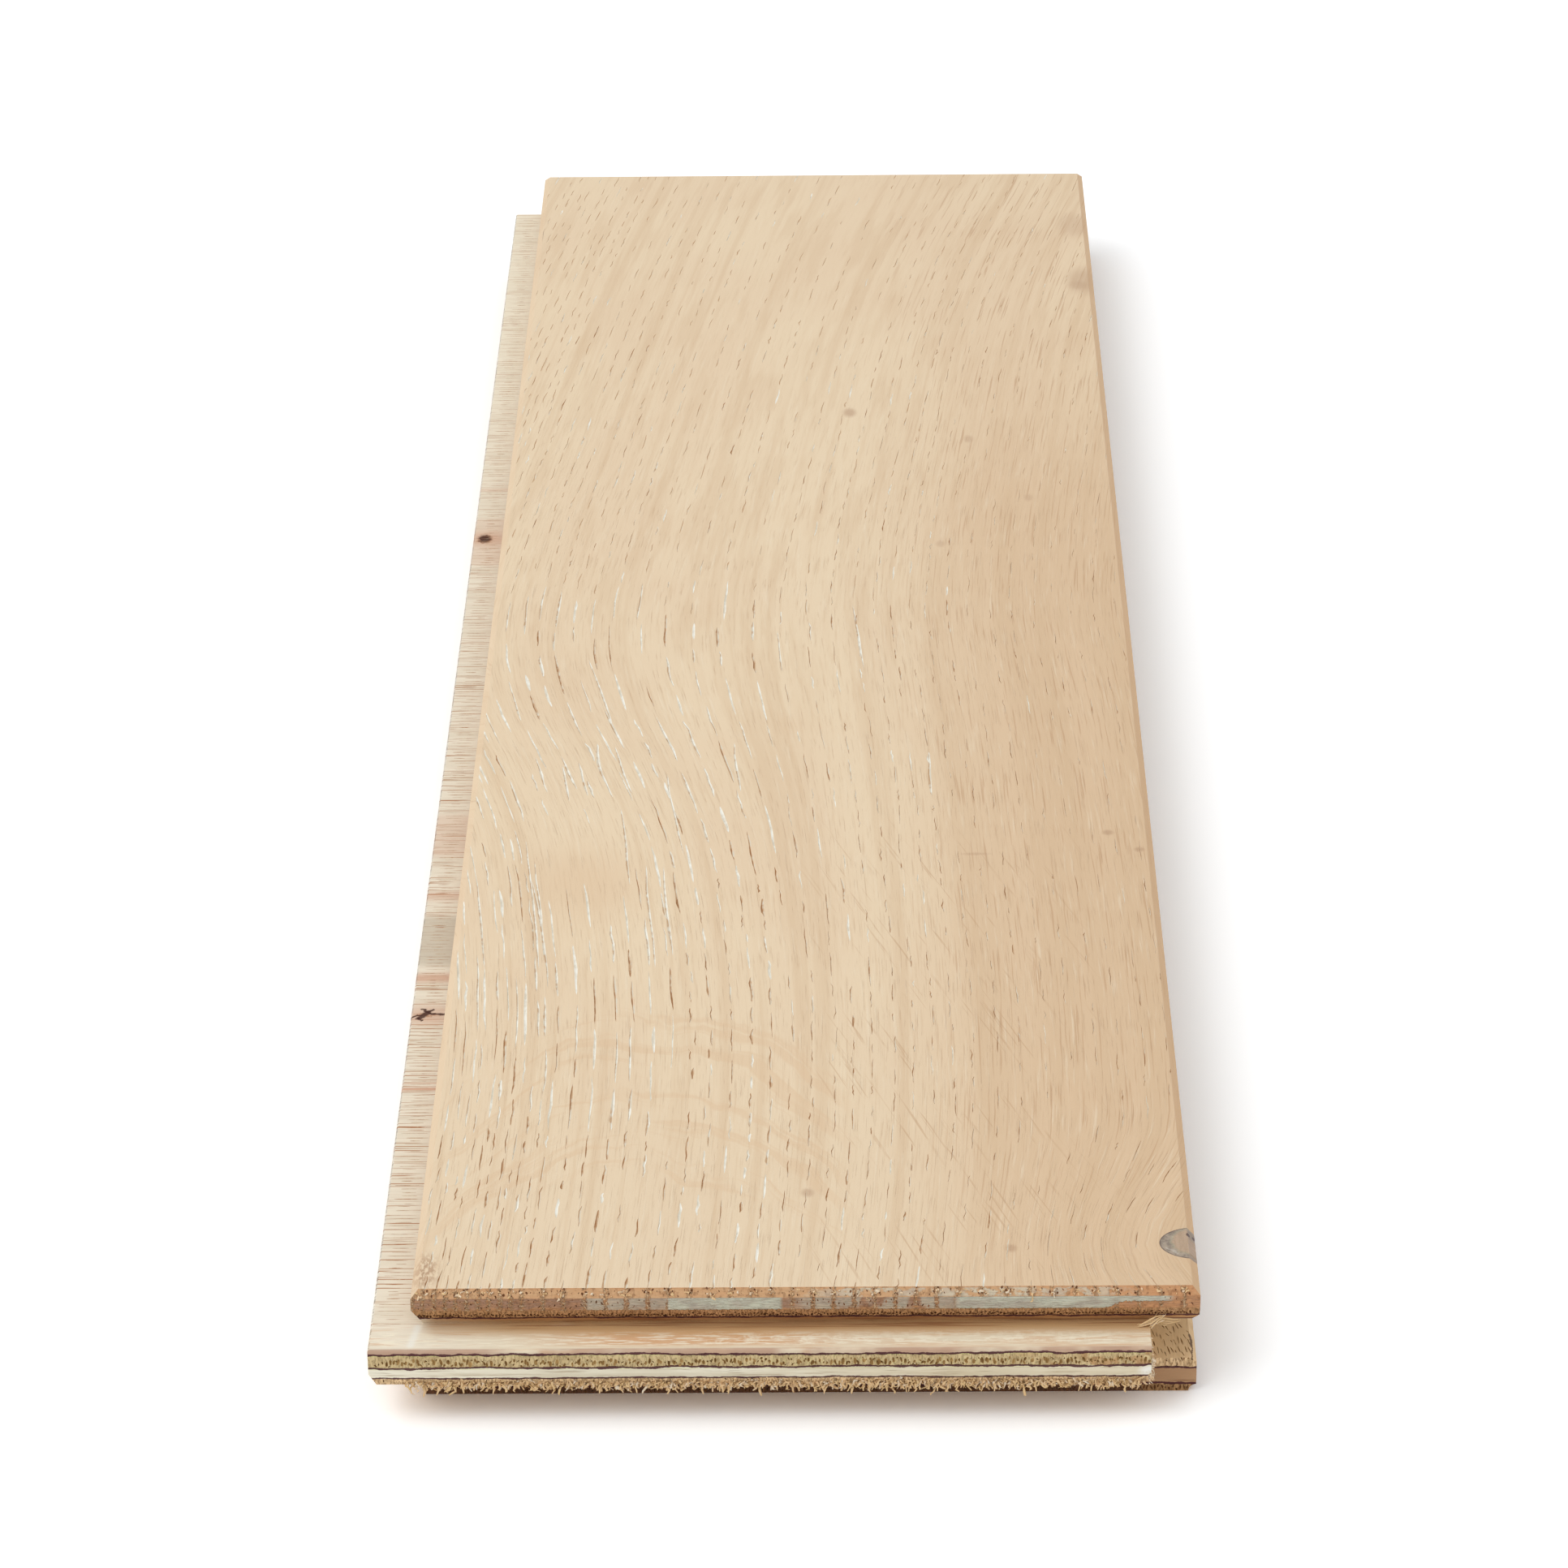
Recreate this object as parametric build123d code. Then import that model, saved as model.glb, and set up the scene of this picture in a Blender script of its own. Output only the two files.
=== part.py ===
from build123d import *
import os

# Herringbone parquet block: an oak wear layer on seven cross-laid plies, with a tongue
# along the left side and the near end, and a groove along the right side and the far end.
# X runs across the block, Y along it, Z up from the underside. Millimetres.

# Face, measured to the joint lines
face_width = 90.0
face_length = 350.0

# Layers, from the top down
oak_thickness = 2.5
ply_thicknesses = [1.4, 1.45, 1.75, 1.65, 2.55, 2.2, 1.0]
thickness = oak_thickness + sum(ply_thicknesses)

# Small bevel round the upper face
bevel = 0.87

# Tongue, heights above the underside
tongue_reach = 4.75
tongue_top = 9.75
tongue_underside = 4.7
nose_top_bevel = 0.2
nose_taper = 0.8
nose_taper_height = 1.9

# Relief above and below the tongue, inward from the joint line
relief_below_face = 2.4
relief_depth = 1.2
lower_lip_setback = 1.2

# Groove that takes the tongue of the next block
fit_above_tongue = 0.1
fit_below_tongue = 0.25
fit_beyond_nose = 0.95
groove_top = tongue_top + fit_above_tongue
groove_floor = tongue_underside - fit_below_tongue
groove_depth = tongue_reach + fit_beyond_nose
mouth_bevel_width = 0.8
mouth_bevel_height = 0.75
lead_in_width = 0.6
lead_in_height = 0.55
groove_lip_setback = 0.15
underside_corner_radius = 0.9

# Filled knot in the right side of the face
knot_from_near_joint = 9.9
knot_half_width = 4.2
knot_half_length = 3.4
knot_depth = 1.8
knot_flare = 0.5

# Joint lines, with the whole block centred on the origin
over = 2.0
width = face_width + tongue_reach
length = face_length + tongue_reach
left_joint = tongue_reach - width / 2
right_joint = width / 2
near_joint = tongue_reach - length / 2
far_joint = length / 2


def section(points):
    # Flat section standing on the XZ plane
    with BuildSketch(Plane.XZ) as sketch:
        with BuildLine():
            Polyline(*points, close=True)
        make_face()
    return sketch.sketch


def tongue_cuts(run):
    # Waste round a tongue: x is measured inward from the joint line, the run is along Y
    outside = -tongue_reach - over
    above = thickness + over
    upper = section([
        (outside, tongue_top - nose_top_bevel),
        (-tongue_reach, tongue_top - nose_top_bevel),
        (-tongue_reach + nose_top_bevel, tongue_top),
        (relief_depth, tongue_top),
        (0, thickness - relief_below_face),
        (0, thickness - bevel),
        (bevel, thickness),
        (bevel, above),
        (outside, above),
    ])
    nose_height = tongue_underside + nose_taper_height
    lower = section([
        (outside, nose_height),
        (-tongue_reach, nose_height),
        (-tongue_reach + nose_taper, tongue_underside),
        (lower_lip_setback, tongue_underside),
        (lower_lip_setback, -over),
        (outside, -over),
    ])
    return [extrude(waste, amount=run / 2, both=True) for waste in (upper, lower)]


def groove_cuts(run):
    # Waste of a groove: x is measured inward from the joint line, the run is along Y
    above = thickness + over
    face_bevel = section([
        (-over, thickness - bevel),
        (0, thickness - bevel),
        (bevel, thickness),
        (bevel, above),
        (-over, above),
    ])
    slot = section([
        (-over, groove_top + mouth_bevel_height),
        (0, groove_top + mouth_bevel_height),
        (mouth_bevel_width, groove_top),
        (groove_depth, groove_top),
        (groove_depth, groove_floor),
        (groove_lip_setback + lead_in_width, groove_floor),
        (groove_lip_setback, groove_floor - lead_in_height),
        (-over, groove_floor - lead_in_height),
    ])
    corner = (groove_lip_setback + underside_corner_radius, underside_corner_radius)
    with BuildSketch(Plane.XZ) as lip_waste:
        with BuildLine():
            RadiusArc(
                (groove_lip_setback, corner[1]), (corner[0], 0), underside_corner_radius
            )
            Polyline(
                (corner[0], 0),
                (corner[0], -over),
                (-over, -over),
                (-over, groove_floor),
                (groove_lip_setback, groove_floor),
                (groove_lip_setback, corner[1]),
            )
        make_face()
    wastes = (face_bevel, slot, lip_waste.sketch)
    return [extrude(waste, amount=run / 2, both=True) for waste in wastes]


def machined_blank():
    # The glued-up blank after all four edges have been milled
    blank = Pos(0, 0, thickness / 2) * Box(width, length, thickness)
    long_run = length + 2 * over
    short_run = width + 2 * over
    for waste in tongue_cuts(long_run):
        blank -= Pos(left_joint, 0, 0) * waste
    for waste in tongue_cuts(short_run):
        blank -= Pos(0, near_joint, 0) * Rot(0, 0, 90) * waste
    for waste in groove_cuts(long_run):
        blank -= Pos(right_joint, 0, 0) * Rot(0, 0, 180) * waste
    for waste in groove_cuts(short_run):
        blank -= Pos(0, far_joint, 0) * Rot(0, 0, 270) * waste
    return blank


def knot_plug():
    # Tapered oval plug that stands over the right joint line, narrower at the bottom
    oval = Ellipse(knot_half_width, knot_half_length)
    foot = Ellipse(knot_half_width - knot_flare, knot_half_length - knot_flare)
    plug = loft([Pos(0, 0, -knot_depth) * foot, oval])
    return Pos(right_joint, near_joint + knot_from_near_joint, thickness) * plug


def layer(body, bottom, top):
    # The slice of the milled block between two glue lines
    slab = Pos(0, 0, (bottom + top) / 2) * Box(width + over, length + over, top - bottom)
    return (body & slab).solids()[0]


def build():
    blank = machined_blank()
    plug = knot_plug()
    ceiling = thickness - oak_thickness
    oak = layer(blank, ceiling, thickness)
    pieces = {}
    pieces["knot_filler"] = (oak & plug).solids()[0]
    pieces["oak_wear_layer"] = (oak - plug).solids()[0]
    for number, ply in enumerate(ply_thicknesses, start=1):
        pieces[f"ply_{number}"] = layer(blank, ceiling - ply, ceiling)
        ceiling -= ply
    return pieces


os.makedirs("parts", exist_ok=True)
for name, solid in build().items():
    export_step(solid, f"parts/{name}.step")
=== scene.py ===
import math

import bpy
import numpy as np
from mathutils import Matrix, Vector


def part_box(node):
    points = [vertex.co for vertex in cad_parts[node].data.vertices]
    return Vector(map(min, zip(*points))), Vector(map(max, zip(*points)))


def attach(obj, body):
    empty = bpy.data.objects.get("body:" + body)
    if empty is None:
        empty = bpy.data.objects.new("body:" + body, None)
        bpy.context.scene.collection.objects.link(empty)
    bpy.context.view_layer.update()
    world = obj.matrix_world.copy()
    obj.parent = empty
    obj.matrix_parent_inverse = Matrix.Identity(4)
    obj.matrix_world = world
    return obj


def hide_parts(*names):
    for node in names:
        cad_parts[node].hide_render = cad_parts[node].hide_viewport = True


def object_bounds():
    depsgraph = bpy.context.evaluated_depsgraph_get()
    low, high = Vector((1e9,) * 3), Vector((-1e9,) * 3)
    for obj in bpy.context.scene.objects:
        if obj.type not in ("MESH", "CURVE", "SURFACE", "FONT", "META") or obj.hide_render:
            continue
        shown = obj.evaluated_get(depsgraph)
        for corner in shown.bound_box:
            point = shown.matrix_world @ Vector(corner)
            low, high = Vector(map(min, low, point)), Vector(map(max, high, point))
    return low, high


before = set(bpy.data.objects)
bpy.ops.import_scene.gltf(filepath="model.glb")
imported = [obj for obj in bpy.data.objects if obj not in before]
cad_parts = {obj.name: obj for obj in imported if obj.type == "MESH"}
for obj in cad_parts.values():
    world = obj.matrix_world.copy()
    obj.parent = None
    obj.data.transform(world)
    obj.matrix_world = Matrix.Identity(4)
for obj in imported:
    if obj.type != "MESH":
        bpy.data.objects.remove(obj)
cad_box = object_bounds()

bl_info = {
    "name": "Herringbone parquet block",
    "version": (1, 0, 0),
    "blender": (4, 5, 0),
    "location": "3D View > Sidebar > Parquet",
    "description": "Brushed and limed oak parquet block with a cross-laid ply core",
    "category": "Object",
}

# Lengths are in millimetres unless a comment says otherwise. Face mm are counted from the near
# left corner of the oak face.
MM = 0.001
FACE_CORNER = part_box("oak_wear_layer")[0] / MM
FACE_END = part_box("oak_wear_layer")[1] / MM
FACE_WIDTH = FACE_END.x - FACE_CORNER.x
FACE_LENGTH = FACE_END.y - FACE_CORNER.y
FACE_HEIGHT = FACE_END.z
PLIES = [f"ply_{number}" for number in range(1, 8)]
BOX_CORNER = cad_box[0] / MM
BOX_END = cad_box[1] / MM
# Heights of the milled edges and of the oak, and how far the groove goes in
TONGUE_TOP = 9.75
TONGUE_UNDERSIDE = 4.7
GROOVE_FLOOR = 4.45
GROOVE_DEPTH = 5.7
OAK_FOOT = 12.0
BEVEL_FOOT = 13.63
ARRIS_FOOT = 14.3
# A copied solid's points are joined within this many metres, and its faces within this angle
WELD = 1e-7
FLAT_ANGLE = math.radians(0.5)
# Stretches of the near end that spilt lacquer covers, so that they have no holes
LACQUERED = ((28, 43), (60, 86))

# Material slots of the oak piece, and of each ply
# A pore's left wall is dressed darker as painted shade (PORE, SOFT_PORE, LIME_THIN), its right wall
# lighter as painted light (PORE_LIT, LIME_THIN, LIME)
FACE, END, PORE, PORE_LIT, LIME_THIN, LIME, PIT, SOFT_PORE = range(8)
PLY_SIDE, PLY_END, PLY_PIT, PLY_LINE = range(4)

# Height against distance from the nose of the tongue, and from the groove side's joint line
TONGUE_HEIGHTS = (0, 4.69, 4.7, 6.6, 9.74, 9.76, 12.1, BEVEL_FOOT, 14.5)
TONGUE_INSETS = (5.95, 5.95, 0.8, 0, 0, 5.95, 4.75, 4.75, 5.62)
GROOVE_HEIGHTS = (0, 0.3, 0.9, 3.9, 4.44, 4.46, 9.84, 9.86, 10.6, BEVEL_FOOT, 14.5)
GROOVE_INSETS = (1.05, 0.37, 0.15, 0.15, 0.75, GROOVE_DEPTH, GROOVE_DEPTH, 0.8, 0, 0, 0.87)

# How far the grain lines drift sideways on their way along the face, in mm. Left is the
# part that swings round the knotty wood, right is the calmer flat-sawn part.
BEND_ALONG = (-20, 0, 20, 70, 90, 110, 130, 150, 165, 180, 200, 240, 280, 315, 350, 370)
BEND_LEFT = (-2, -1, 0, 0, -1.6, -4, -8.4, -13.6, -16, -16.4, -15, -10.4, -5.4, -0.6, 5, 8)
BEND_RIGHT = (-3, -1.5, 0, 1, 0.6, 0, -0.6, -1.5, -2.3, -2.8, -2, 1.6, 6, 12, 20, 24)
# The left part gives way to the right part between these two rings
SWING_FROM = 28.0
SWING_TO = 58.0
# The filled knot pushes the grain aside: how far, round which ring, how many rings to each
# side, and where along the face the push starts, is strongest and ends
KNOT_PUSH = 8.0
KNOT_RING = 98.0
KNOT_SPREAD = 20
KNOT_STRETCH = (-12, 10, 40)
# A ring is looked for this far to both sides, and the stretch halved this many times
RING_SEARCH = 40
HALVINGS = 24
# Sideways lean of the grain for each mm below the face
GRAIN_SLANT = 0.6
# Millimetres to one unit of the UV map named grain
GRAIN_UNIT = 100

# Rings of pores as they cross the near end: close together up to the first number, at the
# usual pitch up to the second, and wider apart by a share beyond it
RING_PITCH = 2.4
CLOSE_PITCH = 1.25
WIDE_SHARE = 1.25
CLOSE_UNTIL = 13
WIDE_FROM = 64
FIRST_RING = -12.0
LAST_RING = 104
# A row of each kind, as it comes out in the end grain
CLOSE_ROW = 2.4
USUAL_ROW = 13.65
WIDE_ROW = 64.05
# From these places along the face the pores look soft, and softer still
SOFT_FROM = 178
SOFTEST_FROM = 280
# Left of this line, or outside this stretch, the pores are clear of the filled knot
KNOT_LEFT = 84
KNOT_NEAR = 3
KNOT_FAR = 18

# How dark the pits of a ply are, as shares of its colour: deepest, shallowest
PIT_SHADES = {
    "ply_1": ((0.2, 0.14, 0.1), (0.4, 0.3, 0.22)),
    "ply_3": ((0.4, 0.29, 0.18), (0.72, 0.6, 0.45)),
    "others": ((0.32, 0.24, 0.18), (0.66, 0.56, 0.46)),
}
# Small marks on the face: centre, half width, half length, strength
FACE_SPOTS = (
    ((84.2, 111.8), 0.9, 0.9, 0.6),
    ((88.1, 107), 0.8, 0.8, 0.6),
    ((45.2, 21.5), 0.9, 1.2, 0.55),
    ((68.7, 9), 0.8, 1.0, 0.6),
    ((50.8, 249.7), 1.2, 2.0, 0.6),
    ((68.7, 239.5), 0.9, 1.6, 0.4),
    ((77, 218), 0.8, 1.6, 0.35),
    ((66.7, 106), 2.2, 0.5, 0.35),
    ((63.8, 202), 0.8, 1.4, 0.35),
    ((88.6, 302), 3.4, 6.5, 0.45),
    ((87.4, 300), 1.8, 2.2, 0.3),
    ((87.7, 326), 3.2, 6.0, 0.3),
)
# Stains across the left tongue: place, half length, strength, reddish or grey
TONGUE_BANDS = (
    (121, 6, 0.35, True),
    (92, 6.5, 0.75, False),
    (104, 1.2, 0.5, True),
    (54.2, 0.4, 0.95, True),
    (55.6, 0.2, 0.5, True),
    (82.2, 1.1, 0.8, True),
    (214, 8, 0.3, True),
    (232.5, 0.5, 0.4, True),
)
# Knots in the left tongue: centre, half length of the halo, half width, half length
TONGUE_KNOTS = (((-2.9, 72.6), 2.6, 2.0, 0.5), ((-3.1, 215), 2.4, 1.3, 1.6))
# No pores are cut in this stretch of the left tongue, beside the nearer knot
TONGUE_KNOT_STRETCH = (70, 75.5)
# The cracks in the nearer knot: start, end, half width
KNOT_CRACKS = (
    ((-4.8, 71.9), (-4, 72.5), 0.16),
    ((-4, 72.5), (-3.4, 72.5), 0.14),
    ((-3.7, 71.8), (-2.6, 73.4), 0.42),
    ((-3.4, 74.2), (-2.8, 73.3), 0.15),
    ((-2.8, 73.2), (-2, 74), 0.18),
    ((-2.7, 73.2), (-2.1, 72.9), 0.28),
    ((-2.1, 72.9), (0.2, 72.7), 0.24),
    ((-3.8, 71.9), (-3.3, 71.2), 0.12),
)
# The whitest lime-filled pores, from end to end
LIME_LINES = (
    ((34.8, 138.5), (36, 124)),
    ((8.3, 134.5), (10.2, 124)),
    ((11.8, 132), (13.3, 121.5)),
    ((14.3, 133), (15.8, 123)),
    ((16.5, 138.5), (17.8, 127)),
    ((19, 137.5), (21.5, 123.5)),
    ((19.8, 119.5), (22, 98)),
    ((26, 129.5), (28.8, 106.5)),
    ((24, 103.5), (26, 76)),
    ((26.5, 103), (28.3, 79)),
    ((7.8, 110.5), (11.3, 75.5)),
    ((9.5, 99.5), (12.8, 73)),
    ((2, 100), (4.5, 76)),
    ((51, 181.5), (52.6, 161)),
    ((14.3, 164.5), (18.3, 142.5)),
    ((61.5, 135.5), (61.3, 122.5)),
)
# The whiskers under the near tongue: distance from one to the next, how far they hang, and how
# many make a tuft
WHISKER_PITCH = 0.055
WHISKER_REACH = 0.5
TUFT_SIZE = 18

# The gouge has this many rings of faces, and so one more station along it. Each station takes a
# random value of its own, and one of those that are drawn is to spare.
GOUGE_RINGS = 6
GOUGE_DRAWS = 8
# Saw lines part the large oak face into small fields: the distance between two lines across and
# along, and how near they may come to the far edges
SAW_ACROSS = 4.5
SAW_ALONG = 5.0
SAW_MARGIN = 2

ROW_SEED = 11
FIBRE_SEED = 7
PLY_SEED = 100

# The photo's camera: its place in mm from the near left corner of the face, its turn, tilt and
# roll in degrees, and its lens in mm
CAMERA_PLACE = (50.28, -558.11, 366.41)
CAMERA_TURN = 0.719
CAMERA_TILT = 27.213
CAMERA_ROLL = -0.666
CAMERA_LENS = 132.6
SENSOR_WIDTH = 36
# Floor and lamp in metres, the lamp's power in watts, and the strength of the light all round
FLOOR_SIZE = 12
LAMP_PLACE = (-1.0, -0.55, 1.48)
LAMP_SIZE = 1.4
LAMP_POWER = 14
SKY_STRENGTH = 0.78


def smooth_steps(x, xs, ys):
    """Smooth curve through a few given points."""
    xs, ys = np.asarray(xs, float), np.asarray(ys, float)
    slope = np.gradient(ys, xs)
    x = np.clip(np.asarray(x, float), xs[0], xs[-1])
    i = np.clip(np.searchsorted(xs, x, side="right") - 1, 0, len(xs) - 2)
    h = xs[i + 1] - xs[i]
    t = (x - xs[i]) / h
    return (
        (2 * t**3 - 3 * t**2 + 1) * ys[i]
        + (t**3 - 2 * t**2 + t) * h * slope[i]
        + (3 * t**2 - 2 * t**3) * ys[i + 1]
        + (t**3 - t**2) * h * slope[i + 1]
    )


def ramp(x, low, high):
    """Zero below low, one above high and a smooth rise between them."""
    t = np.clip((np.asarray(x, float) - low) / (high - low), 0, 1)
    return t * t * (3 - 2 * t)


def grain_x(ring, along):
    """Where the grain line that crosses the near end at ring runs, in face mm."""
    calm = ramp(ring, SWING_FROM, SWING_TO)
    left = smooth_steps(along, BEND_ALONG, BEND_LEFT)
    right = smooth_steps(along, BEND_ALONG, BEND_RIGHT)
    start, middle, end = KNOT_STRETCH
    beside_knot = ramp(along, start, middle) * (1 - ramp(along, middle, end))
    swirl = KNOT_PUSH * np.exp(-(((KNOT_RING - ring) / KNOT_SPREAD) ** 2)) * beside_knot
    return ring + left * (1 - calm) + right * calm - swirl


def ring_at(across, along):
    """The ring of the grain line through a place on the face, found by halving."""
    across = np.asarray(across, float)
    low, high = across - RING_SEARCH, across + RING_SEARCH
    for _ in range(HALVINGS):
        middle = (low + high) / 2
        over = grain_x(middle, along) > across
        high = np.where(over, middle, high)
        low = np.where(over, low, middle)
    return (low + high) / 2


def number_of(node):
    return int(node.rsplit("_", 1)[1])


# Selecting and editing


def select_only(item):
    if bpy.context.mode != "OBJECT":
        bpy.ops.object.mode_set(mode="OBJECT")
    bpy.ops.object.select_all(action="DESELECT")
    item.select_set(True)
    bpy.context.view_layer.objects.active = item


def copy_of_node(node, name):
    """The CAD node's shape as a mesh of whole faces, ready for carving."""
    select_only(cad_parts[node])
    bpy.ops.object.duplicate()
    piece = bpy.context.active_object
    piece.name = name
    piece.data.name = name
    for key in list(piece.keys()):
        if key.startswith("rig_"):
            del piece[key]
    piece.parent = None
    piece.data.materials.clear()
    bpy.ops.object.shade_flat()
    bpy.ops.object.mode_set(mode="EDIT")
    bpy.ops.mesh.select_all(action="SELECT")
    bpy.ops.mesh.remove_doubles(threshold=WELD)
    bpy.ops.mesh.dissolve_limited(angle_limit=FLAT_ANGLE)
    bpy.ops.object.mode_set(mode="OBJECT")
    return piece


def saw(piece, axis, places):
    """Cuts the surface along planes across an axis, at places given in mm."""
    select_only(piece)
    bpy.ops.object.mode_set(mode="EDIT")
    normal = [0, 0, 0]
    normal[axis] = 1
    for place in places:
        point = [0, 0, 0]
        point[axis] = place * MM
        bpy.ops.mesh.select_all(action="SELECT")
        bpy.ops.mesh.bisect(plane_co=point, plane_no=normal)
    bpy.ops.object.mode_set(mode="OBJECT")


def carve(piece, tool):
    """Takes the joined tools out of the piece and throws the tools away."""
    cut = piece.modifiers.new("carve", "BOOLEAN")
    cut.operation = "DIFFERENCE"
    cut.solver = "MANIFOLD"
    cut.object = tool
    select_only(piece)
    before = len(piece.data.polygons)
    bpy.ops.object.modifier_apply(modifier=cut.name)
    if len(piece.data.polygons) <= before:
        raise RuntimeError(f"{tool.name} cut nothing out of {piece.name}")
    bpy.data.meshes.remove(tool.data)


def gouge_shape():
    """One spindle along Y with pointed ends, unit sized: the tool for every pore."""
    bpy.ops.object.select_all(action="DESELECT")
    bpy.ops.mesh.primitive_uv_sphere_add(segments=4, ring_count=GOUGE_RINGS, radius=1)
    tool = bpy.context.active_object
    bpy.ops.object.mode_set(mode="EDIT")
    bpy.ops.mesh.select_all(action="SELECT")
    bpy.ops.transform.rotate(value=math.radians(90), orient_axis="X", center_override=(0, 0, 0))
    bpy.ops.object.mode_set(mode="OBJECT")
    points = np.empty(len(tool.data.vertices) * 3)
    tool.data.vertices.foreach_get("co", points)
    faces = [tuple(face.vertices) for face in tool.data.polygons]
    bpy.data.meshes.remove(tool.data)
    return points.reshape(-1, 3), faces


class ToolRack:
    """Copies of the gouge, each one bent and sized, gathered in one mesh."""

    def __init__(self, name, materials):
        self.name = name
        self.materials = materials
        self.shape, self.faces = gouge_shape()
        self.share = (self.shape[:, 1] + 1) / 2
        self.station = np.round(self.share * GOUGE_RINGS).astype(int)
        self.left_wall = np.array([self.shape[list(face), 0].mean() < 0 for face in self.faces])
        self.points = []
        self.slots = []

    def add(self, points, slot):
        """Keeps one shaped tool: slot is a finish, or a pair for its left and right wall."""
        self.points.append(points)
        left, right = slot if isinstance(slot, tuple) else (slot, slot)
        self.slots.append(np.where(self.left_wall, left, right))

    def along_grain(self, ring, along, length, width, depth, rng, slot):
        """A pore on the face: follows the grain line, with ragged sides."""
        across, lengthwise, up = self.shape.T
        wander = rng.normal(0, 0.055, GOUGE_DRAWS)[self.station]
        swell = 1 + rng.normal(0, 0.16, GOUGE_DRAWS)[self.station]
        y = along + lengthwise * length / 2
        x = grain_x(np.full_like(y, ring), y) + wander + across * swell * width / 2
        z = FACE_HEIGHT + up * depth
        self.add(np.stack([x + FACE_CORNER.x, y + FACE_CORNER.y, z], 1), slot)

    def straight(self, centre, length, width, depth, rng, axis, slot, lean=0.0):
        """A pore of size length along an axis, width across it and depth in height."""
        across, lengthwise, up = self.shape.T
        swell = 1 + rng.normal(0, 0.15, GOUGE_DRAWS)[self.station]
        offset = np.zeros((len(across), 3))
        offset[:, axis] = lengthwise * length / 2
        offset[:, 1 - axis] = across * swell * width / 2 + lengthwise * lean
        offset[:, 2] = up * swell * depth
        self.add(np.asarray(centre, float) + offset, slot)

    def upright(self, centre, reach, width, height, rng, axis, slot):
        """A pit in an end-grain face: reach goes in along the axis."""
        across, lengthwise, up = self.shape.T
        swell = 1 + rng.normal(0, 0.12, len(across))
        offset = np.zeros((len(across), 3))
        offset[:, 2] = lengthwise * height / 2
        offset[:, 1 - axis] = across * swell * width / 2 + lengthwise * rng.normal(0, 0.06)
        offset[:, axis] = up * reach
        self.add(np.asarray(centre, float) + offset, slot)

    def sliver(self, start, end, width, rng, slot):
        """A splinter or fibre between two points, thin at both ends."""
        start, end = np.asarray(start, float), np.asarray(end, float)
        across, _, up = self.shape.T
        run = Vector(end - start).normalized()
        side = np.array(run.orthogonal().normalized())
        other = np.cross(np.array(run), side)
        bend = np.cumsum(rng.normal(0, width * 0.4, (GOUGE_DRAWS, 3)), 0)[self.station]
        spine = start + self.share[:, None] * (end - start) + bend
        spine = np.clip(spine, np.array(BOX_CORNER) + width, np.array(BOX_END) - width)
        self.add(spine + (across[:, None] * side + up[:, None] * other * 0.6) * width / 2, slot)

    def mesh(self):
        if not self.points:
            raise RuntimeError(f"{self.name} holds no tools")
        stride = len(self.shape)
        faces = [
            tuple(corner + number * stride for corner in face)
            for number in range(len(self.points))
            for face in self.faces
        ]
        mesh = bpy.data.meshes.new(self.name)
        mesh.from_pydata((np.concatenate(self.points) * MM).tolist(), [], faces)
        for material in self.materials:
            mesh.materials.append(material)
        mesh.polygons.foreach_set("material_index", np.concatenate(self.slots))
        tool = bpy.data.objects.new(self.name, mesh)
        bpy.context.scene.collection.objects.link(tool)
        select_only(tool)
        bpy.ops.object.mode_set(mode="EDIT")
        bpy.ops.mesh.select_all(action="SELECT")
        bpy.ops.mesh.normals_make_consistent(inside=False)
        bpy.ops.object.mode_set(mode="OBJECT")
        return tool


# Materials

# Places of the colour sockets of a Mix node
MIX_A = 6
MIX_B = 7
MIX_RESULT = 2


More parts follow.
